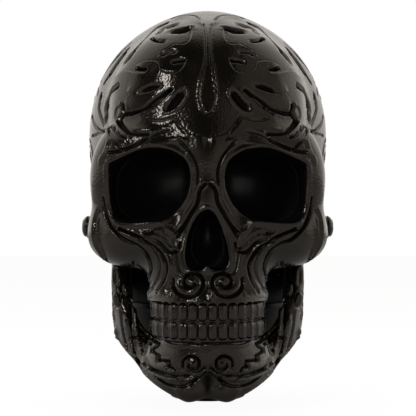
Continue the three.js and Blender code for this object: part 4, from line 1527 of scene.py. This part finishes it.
# Ornament on the jaw, in rows like the head's
JAW = {
    "chin lobe": ("front", "ridge", 15.0, 1.6, (
        (174, 387), (184, 391.6), (193, 393.6), (200, 391), (203, 386),
    ), {"pointed": 0.5}),
    "chin valley": ("front", "ridge", 14.0, -1.5, (
        (207.7, 378), (207.7, 384), (207.7, 390),
    ), {"middle": True}),
    "chin spiral": ("front", "groove", 1.7, 1.7, (
        (182.4, 368), (182.6, 361.6), (186.6, 357.4), (192.6, 356.4), (197.6, 359.4),
        (199.2, 364.6),
        (197, 369.4), (192, 371), (188, 368), (188.8, 364.2),
    )),
    "chin spiral ball": ("front", "ridge", 4.4, 1.2, ((191.6, 364), (193, 364.4))),
    "chin sweep upper": ("front", "groove", 1.7, 1.7, (
        (144, 362), (150, 367.6), (158, 371.6), (171, 375.4), (187, 376), (197.4, 372.8),
        (205, 368),
    )),
    "chin sweep lower": ("front", "ridge", 2.2, 1.4, (
        (143, 364.6), (149, 371.6), (158, 376), (171, 379.6), (187, 379.6), (198, 376),
        (205.6, 371),
    )),
    "chin leaf": ("front", "groove", 1.6, 1.6, (
        (156, 377), (166, 384), (178, 386.6), (190, 384), (200, 376), (206, 371.6),
    )),
    "jaw comb": ("front", "groove", 1.9, 2.0, (
        (150, 337), (155, 341), (159, 344.6), (155, 347.6), (151.6, 350.4), (155, 353.4),
        (159, 357), (157, 360), (162, 361), (169, 362), (167, 366.6), (171, 368), (174.6, 371.6),
    )),
    "jaw comb top": ("front", "groove", 1.8, 2.0, (
        (138, 328), (143, 333), (148, 337), (145, 341), (152, 344),
    )),
    "jaw front ridge": ("front", "ridge", 3.0, 1.5, (
        (133.4, 296), (134.4, 312), (136.4, 329), (139.4, 343), (144, 356), (149, 367),
    )),
    "jaw front groove": ("front", "slot", 1.1, 1.8, (
        (130.2, 304), (130.4, 322), (131.4, 341), (136, 357), (142, 371),
    )),
    "upright line outer": ("front", "slot", 1.1, 1.7, ((120.6, 312), (122.6, 330), (127.4, 349))),
    "upright boss top": ("front", "ridge", 4.6, 1.6, ((126, 286.6), (126, 292))),
    "upright ring top": (
        "front", "groove", 1.2, 1.4, ring((126, 289.6), 5.0, 8.0), {"closed": True},
    ),
    "upright boss low": ("front", "ridge", 3.6, 1.4, ((126.4, 318), (126.4, 322))),
    "outer boss top": ("front", "ridge", 4.6, 1.5, ((116, 296), (116, 302))),
    "outer ring top": (
        "front", "groove", 1.2, 1.3, ring((116, 299.6), 4.6, 8.0), {"closed": True},
    ),
    "outer boss low": ("front", "ridge", 4.0, 1.4, ((116.6, 331), (117.4, 335))),
    "lower gum bump": ("front", "ridge", 2.2, 0.7, (
        (160, 338), (168, 344), (178, 346.6), (190, 345.6), (200, 346.6), (207.7, 345.4),
    )),
    "side sweep": ("side", "twin", 3.4, 1.0, (
        (-2, 80), (-6, 66), (-8, 50), (-14, 38), (-26, 30), (-42, 24), (-58, 18),
    )),
    "side lower sweep": ("side", "groove", 1.9, 1.3, (
        (-1, 62), (-2, 48), (-6, 36), (-16, 29), (-32, 22), (-50, 15),
    )),
    "side scroll": ("side", "groove", 2.2, 1.5, [
        (-20, 62), (-20, 54), *spiral((-17, 46), 6, 150, -1.3),
    ]),
    "side leaf": ("side", "slot", 2.6, 1.4, ((-22, 74), (-24, 66), (-29, 58)), {"pointed": 0.35}),
    "side body scroll": ("side", "groove", 2.0, 1.4, [
        (-34, 34), (-40, 36), *spiral((-46, 30), 6, 70, 1.2),
    ]),
}


def jaw_form():
    """The jaw's bare form: a rounded strip swept from pivot to pivot."""
    low = border([at(*p) for p in LOWER_BORDER])
    turns = np.array(GUM_TURN_SHARES) * np.pi / 2
    gum = np.column_stack((arch_place(turns, -GUM_BULGE), np.full(len(turns), JAW_TOP)))
    high = border([*gum, *[at(*p) for p in UPPER_BORDER]])
    last = len(LOWER_BORDER) - 1
    body_stations = len(GUM_TURN_SHARES)

    def rule(points):
        share = (points[:, 2] + 1) / 2
        station = np.abs(points[:, 2]) * last
        # The body of the jaw passes over into the upright plate within three stations
        upright = np.clip((station - body_stations + 2) / 3, 0, 1)
        upright = (upright**2 * (3 - 2 * upright))[:, None]
        thickness = JAW_THICKNESS + (RAMUS_THICKNESS - JAW_THICKNESS) * upright[:, 0]
        rise = 0.5 + rounded(points[:, 1], JAW_UPRIGHTNESS) / 2
        depth = thickness * (0.5 - rounded(points[:, 0], JAW_SQUARENESS) / 2)
        lower, upper = on_border(low, share), on_border(high, share)
        nudge = 1e-3
        run = on_border(low, share + nudge) - on_border(low, share - nudge)
        run += on_border(high, share + nudge) - on_border(high, share - nudge)
        run[:, 2] = 0
        inward = np.stack((-run[:, 1], run[:, 0], np.zeros(len(run))), 1)
        inward /= np.linalg.norm(inward, axis=1)[:, None]
        side = np.zeros_like(inward)
        side[:, 0] = -np.sign(points[:, 2])
        inward = inward * (1 - upright) + side * upright
        inward /= np.linalg.norm(inward, axis=1)[:, None]
        return lower + (upper - lower) * rise[:, None] + inward * depth[:, None]

    return tube("jaw_form", 72, 199, rule)


class SKULL_OT_jaw(bpy.types.Operator):
    """Makes the carved jaw that swings on the pins"""

    bl_idname = "skull.jaw"
    bl_label = "Jaw"

    def execute(self, context):
        jaw = jaw_form()
        strokes = laid(JAW, jaw.data)
        refined(jaw.data, strokes, FINE, 2)
        lead = calm_lead(jaw)
        carved(jaw, strokes, lambda _: lead)
        eyelet = bar(0, EYELET, RAMUS_OUTER - RAMUS_THICKNESS, RAMUS_OUTER, PIVOT, 64)
        room = block((RAMUS_OUTER, PIVOT[1] - PIN_ROOM, PIVOT[2] - PIN_ROOM), (FAR, FAR, FAR))
        join(jaw, *both(eyelet))
        cut(jaw, *both(room))
        cut(jaw, bar(0, PIN + GAP, -FAR, FAR, PIVOT))
        cut(jaw, tenon(GAP, JAW_TOP - TENON, JAW_TOP + OVERSHOOT))
        half = ARCH_HALF + OVERSHOOT
        bed_rear = ARCH_MIDDLE - 8
        room_over_bed = 12
        cut(jaw, block((-half, -FAR, JAW_TOP), (half, bed_rear, JAW_TOP + room_over_bed)))
        finished(
            jaw, "carved_lower_jaw", "jaw", shell_finish(), ("lower_jaw",),
            CARVED_ANGLE,
        )
        return {"FINISHED"}


# The band that joins a row's teeth, in front of and behind the middle of their thickness
BAND_FRONT = 1.3
BAND_REAR = 2.2
# How square a tooth is seen from above and from the front, as powers of a ball's coordinates
TOOTH_SQUARENESS = 0.86
TOOTH_UPRIGHTNESS = 0.42
# A tooth's width and thickness at its neck, and what its crown adds, as shares of its room
NECK_WIDTH = 0.93
CROWN_WIDTH = 0.1
NECK_THICKNESS = 0.92
CROWN_THICKNESS = 0.08
# The depth of the flutes down a tooth's face, and how close together they are
FLUTE = 0.22
FLUTE_WAVES = 9
# How teeth narrow towards the sides, and how much of the arch a row takes up
NARROWING = 1.06
ROW_SHARE = 0.985


def row_of_teeth(low, high, tenon_low, tenon_high, crown_up):
    """Rounded teeth on the arch, wide in front and narrow at the sides, on one keyed band."""
    middle = TOOTH_THICKNESS / 2
    row = arch_band(middle - BAND_FRONT, middle + BAND_REAR, low, high)
    join(row, tenon(0, tenon_low, tenon_high))
    # Where teeth meet, as angles from the middle of the arch to its end
    spread = np.linspace(0, 1, bpy.context.scene.skull_sizes.tooth_count // 2 + 1)
    turns = spread**NARROWING * np.pi / 2 * ROW_SHARE
    for start, end in zip(turns, turns[1:]):
        turn = (start + end) / 2
        place = arch_place(np.array([turn]), middle)[0]
        first, second = arch_place(np.array([start, end]), 0)
        width = np.linalg.norm(first - second)

        def rule(points):
            up = (points[:, 2] + 1) / 2
            if not crown_up:
                up = 1 - up
            x = rounded(points[:, 0], TOOTH_SQUARENESS) * width * 0.5
            x = x * (NECK_WIDTH + CROWN_WIDTH * up)
            y = rounded(points[:, 1], TOOTH_SQUARENESS) * middle
            y = y * (NECK_THICKNESS + CROWN_THICKNESS * up)
            flutes = FLUTE * np.cos(points[:, 0] * FLUTE_WAVES) * (points[:, 1] < 0)
            y = y - flutes * np.sqrt(np.clip(1 - points[:, 2] ** 2, 0, 1))
            z = (low + high) / 2 + rounded(points[:, 2], TOOTH_UPRIGHTNESS) * (high - low) / 2
            c, s = math.cos(turn), math.sin(turn)
            return np.stack((side * (place[0] + x * c - y * s), place[1] + x * s + y * c, z), 1)

        for side in (1, -1):
            join(row, ball("tooth", rule, 4))
    return row


class SKULL_OT_teeth(bpy.types.Operator):
    """Makes both rows of teeth"""

    bl_idname = "skull.teeth"
    bl_label = "Teeth"

    def execute(self, context):
        upper = row_of_teeth(
            BITE + GAP / 2, GUM - GAP, GUM - 2 * GAP, GUM + TENON - GAP, False
        )
        lower = row_of_teeth(
            JAW_TOP + GAP, BITE - GAP / 2, JAW_TOP - TENON + GAP, JAW_TOP + 2 * GAP, True
        )
        for row, node, body in ((upper, "upper_teeth", "skull"), (lower, "lower_teeth", "jaw")):
            finished(row, "rounded_" + node, body, tooth_finish(), (node,))
        return {"FINISHED"}


# How full a knob's dome is, and the depth of its scroll as a share of its radius
KNOB_FULLNESS = 0.55
SCROLL_DEPTH = 0.1


class SKULL_OT_knobs(bpy.types.Operator):
    """Makes the scroll knobs over the jaw's pins"""

    bl_idname = "skull.knobs"
    bl_label = "Pivot Knobs"

    def execute(self, context):
        turns = context.scene.skull_sizes.knob_turns
        low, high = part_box("left_pivot_knob")
        seat_x, end_x = low.x / MM, high.x / MM

        def rule(points):
            share = (points[:, 2] + 1) / 2
            x = seat_x + (end_x - seat_x) * np.sin(share * np.pi / 2)
            dome = np.cos(np.clip(share, 0, 1) * np.pi / 2) ** KNOB_FULLNESS
            angle = np.arctan2(points[:, 1], points[:, 0])
            groove = 0.5 * (1 + np.cos(angle - turns * 2 * np.pi * share * 2))
            cut_in = SCROLL_DEPTH * groove**4 * np.sin(share * np.pi) ** 0.5
            radius = KNOB * np.where(share < 1, dome, 0) * (1 - cut_in)
            y = PIVOT[1] + radius * np.cos(angle)
            return np.stack((x, y, PIVOT[2] + radius * np.sin(angle)), 1)

        left = tube("knob", 96, 63, rule)
        finish = shell_finish()
        for made, side in ((twin(left), "right"), (left, "left")):
            name = f"{side}_pivot_knob"
            finished(made, "scroll_" + name, "skull", finish, (name,))
        return {"FINISHED"}


def stand_width(z):
    """Half the width of the stand at a height over the shelf."""
    rise = np.clip(z / STAND_TOP, 0, 1)
    return FOOT_HALF + (STAND_HALF[0] - FOOT_HALF) * np.sin(rise * np.pi / 2)


def oval(inset, start, end, beads):
    """An oval column in the stand's outline, with a bead near each end or without."""
    bead = 2.2
    upper_bead = 2.4
    swell = 0.7
    edge = 0.8
    worn = 0.5

    def rule(points):
        z = start + (end - start) * (points[:, 2] + 1) / 2
        rolled = beads * (
            bump((z - start - bead) / bead) + bump((z - end + upper_bead) / bead)
        )
        ends = beads * (bump((z - start) / edge) + bump((z - end) / edge))
        x = points[:, 0] * (stand_width(z) - inset + rolled * swell - ends * worn)
        y = STAND[1] + points[:, 1] * (STAND_HALF[1] - inset + rolled * swell - ends * worn)
        return np.stack((x, y, z), 1)

    return tube("oval", 128, 59, rule)


def pad_rule(points):
    """The rule of the pad, with its edges rounded over."""
    z = PAD_TOP * (points[:, 2] + 1) / 2
    worn = 0.5
    round_over = worn * points[:, 2] ** 8
    x = points[:, 0] * (FOOT_HALF - round_over)
    return np.stack((x, STAND[1] + points[:, 1] * (STAND_HALF[1] - round_over), z), 1)


class SKULL_OT_stand(bpy.types.Operator):
    """Makes the flared oval stand and its rubber pad"""

    bl_idname = "skull.stand"
    bl_label = "Stand and Pad"

    def execute(self, context):
        low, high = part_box("stand")
        foot, top = low.z / MM, high.z / MM
        outer = oval(BEAD_ROOM, foot, top, 1)
        stand = cut(outer, oval(BEAD_ROOM + STAND_WALL, foot - 1, top - WALL, 0))
        for end in (1, -1):
            place = (0, STAND[1] + end * (STAND_HALF[1] - WALL - POST - POST_ROOM), 0)
            join(stand, bar(2, POST, foot + FLOOR_THICKNESS, top - WALL / 2, place))
            cut(stand, bar(2, SCREW_HOLE, 0, foot + PLATE_HOLE_TOP, place, HOLE_SIDES))
            for side in (1, -1):
                hole = (top - SCREW_DEPTH, top + OVERSHOOT)
                cut(stand, bar(2, SCREW_HOLE, *hole, corner(side, end), HOLE_SIDES))
        finish = kept("satin black stand", lambda name: satin(
            name, (0.0012, 0.0012, 0.0012), (0.003, 0.003, 0.003), 420, 0.5, 0.3, shine=0.15
        ))
        finished(stand, "flared_stand", "skull", finish, ("stand",))
        rubber = kept("rubber pad", lambda name: satin(
            name, (0.006, 0.006, 0.006), (0.014, 0.014, 0.014), 1600, 0.85, 0.6
        ))
        pad = tube("pad", 128, 11, pad_rule)
        finished(pad, "rounded_base_pad", "skull", rubber, ("base_pad",))
        return {"FINISHED"}


# Words in the names of nodes, and the finish that such nodes get: its name, both colours, the
# scale of its grain, roughness, relief and metallic share
HARDWARE = (
    (("jaw_pin", "screw"),
     ("turned steel", (0.26, 0.27, 0.28), (0.42, 0.43, 0.45), 800, 0.3, 0.15, 1.0)),
    (("ballast",),
     ("cast iron", (0.03, 0.03, 0.032), (0.07, 0.068, 0.066), 260, 0.65, 0.9, 0.8)),
    (("washer",),
     ("nylon washer", (0.52, 0.5, 0.44), (0.66, 0.64, 0.57), 700, 0.55, 0.2, 0.0)),
    (("base_plate",),
     ("painted plate", (0.004, 0.004, 0.004), (0.009, 0.009, 0.009), 500, 0.45, 0.4, 0.0)),
)


class SKULL_OT_hardware(bpy.types.Operator):
    """Gives the pins, washers, screws, plate and weight their finishes"""

    bl_idname = "skull.hardware"
    bl_label = "Hardware Finishes"

    def execute(self, context):
        for words, (name, *look) in HARDWARE:
            finish = kept(name, lambda name, look=look: satin(name, *look))
            for node_name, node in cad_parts.items():
                if any(word in node_name for word in words):
                    node.data.materials.clear()
                    node.data.materials.append(finish)
        return {"FINISHED"}


def placed(name, data, place):
    """A lamp or a camera as an object at a place."""
    made = bpy.data.objects.new(name, data)
    bpy.context.scene.collection.objects.link(made)
    made.location = place
    return made


def lamp(name, place, size, power):
    """A soft rectangular lamp that looks at the middle of the skull."""
    light = bpy.data.lights.new(name, "AREA")
    light.shape = "RECTANGLE"
    light.size, light.size_y = size
    light.energy = power
    made = placed(name, light, place)
    middle_of_skull = Vector((0, 0, 0.11))
    look = middle_of_skull - Vector(place)
    made.rotation_euler = look.to_track_quat("-Z", "Y").to_euler()
    return made


def white_floor():
    """A finish that is white to the camera and grey in what the skull mirrors."""
    material = bpy.data.materials.new("white floor")
    tree = Tree(material)
    seen = tree.add("LightPath", "Is Camera Ray")
    shader = tree.nodes["Principled BSDF"]
    tree.wire(shader, {
        "Roughness": 0.9,
        "Specular IOR Level": 0.0,
        "Base Color": tree.mixed(seen, (0.45, 0.45, 0.45, 1), (0.93, 0.93, 0.93, 1)),
    })
    blended = tree.add("MixShader", "Shader", {
        "Fac": tree.math("MULTIPLY", seen, 0.95),
        1: shader.outputs["BSDF"],
        2: tree.add("Emission", "Emission"),
    })
    tree.wire(tree.nodes["Material Output"], {"Surface": blended})
    return material


def pale_room():
    """Surroundings that are white to the camera. The skull mirrors them pale behind it and at its
    sides, dark above and in front, and with a dim card on the right."""
    world = bpy.data.worlds.new("pale room")
    tree = Tree(world)
    path = tree.nodes.new("ShaderNodeLightPath").outputs
    seen = tree.math("MAXIMUM", path["Is Camera Ray"], path["Is Transmission Ray"])
    split = tree.nodes.new("ShaderNodeSeparateXYZ")
    tree.wire(split, {0: tree.add("TexCoord", "Generated")})
    x, y, z = split.outputs
    soft = {"interpolation_type": "SMOOTHSTEP"}
    sideways = tree.math("MULTIPLY", tree.math("ABSOLUTE", x), z)
    raised = tree.math("MULTIPLY", tree.math("SUBTRACT", sideways, z), 0.5)
    behind_it = tree.spread(tree.math("ADD", y, raised), -0.55, 0.15, 0, 1, **soft)
    aloft = tree.spread(z, 0.05, 0.4, 0.26, 0.01, **soft)
    to_right = tree.spread(x, 0.1, 0.3, 0, 0.4, **soft)
    surround = tree.math("MAXIMUM", tree.math("ADD", aloft, to_right), behind_it)
    tree.wire(tree.nodes["Background"], {
        "Color": tree.mixed(seen, (1, 0.95, 0.89, 1), (1, 1, 1, 1)),
        "Strength": tree.math("MAXIMUM", seen, surround),
    })
    return world


class SKULL_OT_stage(bpy.types.Operator):
    """Sets the floor, the soft lamps, the pale surroundings and the camera"""

    bl_idname = "skull.stage"
    bl_label = "Stage and Camera"

    def execute(self, context):
        scene = context.scene
        camera = bpy.data.cameras.new("camera")
        camera.sensor_width = SENSOR
        camera.lens = FOCAL_PX / IMAGE_SIDE * SENSOR
        scene.camera = placed("camera", camera, CAMERA * MM)
        scene.camera.rotation_euler = (math.pi / 2, 0, 0)

        bm = bmesh.new()
        bmesh.ops.create_grid(bm, x_segments=1, y_segments=1, size=3)
        floor = to_object(bm, "floor")
        floor.data.materials.append(white_floor())
        scene.world = pale_room()

        lamp("strip softbox", (-0.54, -0.8, 0.6), (0.12, 0.44), 4.4)
        # The fills brighten the surface without a highlight of their own
        for name, place, power in (
            ("front fill", (0.1, -1.3, 0.5), 9),
            ("overhead fill", (0, 0.25, 1.0), 5),
        ):
            lamp(name, place, (0.9, 0.7), power).visible_glossy = False
        scene.view_settings.view_transform = "Standard"
        return {"FINISHED"}


class SKULL_PT_panel(bpy.types.Panel):
    """Lists the sizes, the looks and the steps that build the ornament"""

    bl_idname = "SKULL_PT_panel"
    bl_label = "Carved Skull Ornament"
    bl_space_type = "VIEW_3D"
    bl_region_type = "UI"
    bl_category = "Skull"

    def draw(self, context):
        layout = self.layout
        for group in (context.scene.skull_sizes, context.scene.skull_looks):
            box = layout.box()
            for name in group.__annotations__:
                box.prop(group, name)
        for step in STEPS:
            layout.operator(step.bl_idname)


STEPS = (
    SKULL_OT_head,
    SKULL_OT_cups,
    SKULL_OT_jaw,
    SKULL_OT_teeth,
    SKULL_OT_knobs,
    SKULL_OT_stand,
    SKULL_OT_hardware,
    SKULL_OT_stage,
)
CLASSES = (SkullSizes, SkullLooks, *STEPS, SKULL_PT_panel)


def register():
    for cls in CLASSES:
        bpy.utils.register_class(cls)
    bpy.types.Scene.skull_sizes = PointerProperty(type=SkullSizes)
    bpy.types.Scene.skull_looks = PointerProperty(type=SkullLooks)


def unregister():
    del bpy.types.Scene.skull_looks
    del bpy.types.Scene.skull_sizes
    for cls in reversed(CLASSES):
        bpy.utils.unregister_class(cls)


def main():
    register()
    bpy.ops.skull.head()
    bpy.ops.skull.cups()
    bpy.ops.skull.jaw()
    bpy.ops.skull.teeth()
    bpy.ops.skull.knobs()
    bpy.ops.skull.stand()
    bpy.ops.skull.hardware()
    bpy.ops.skull.stage()


if __name__ == "__main__":
    main()
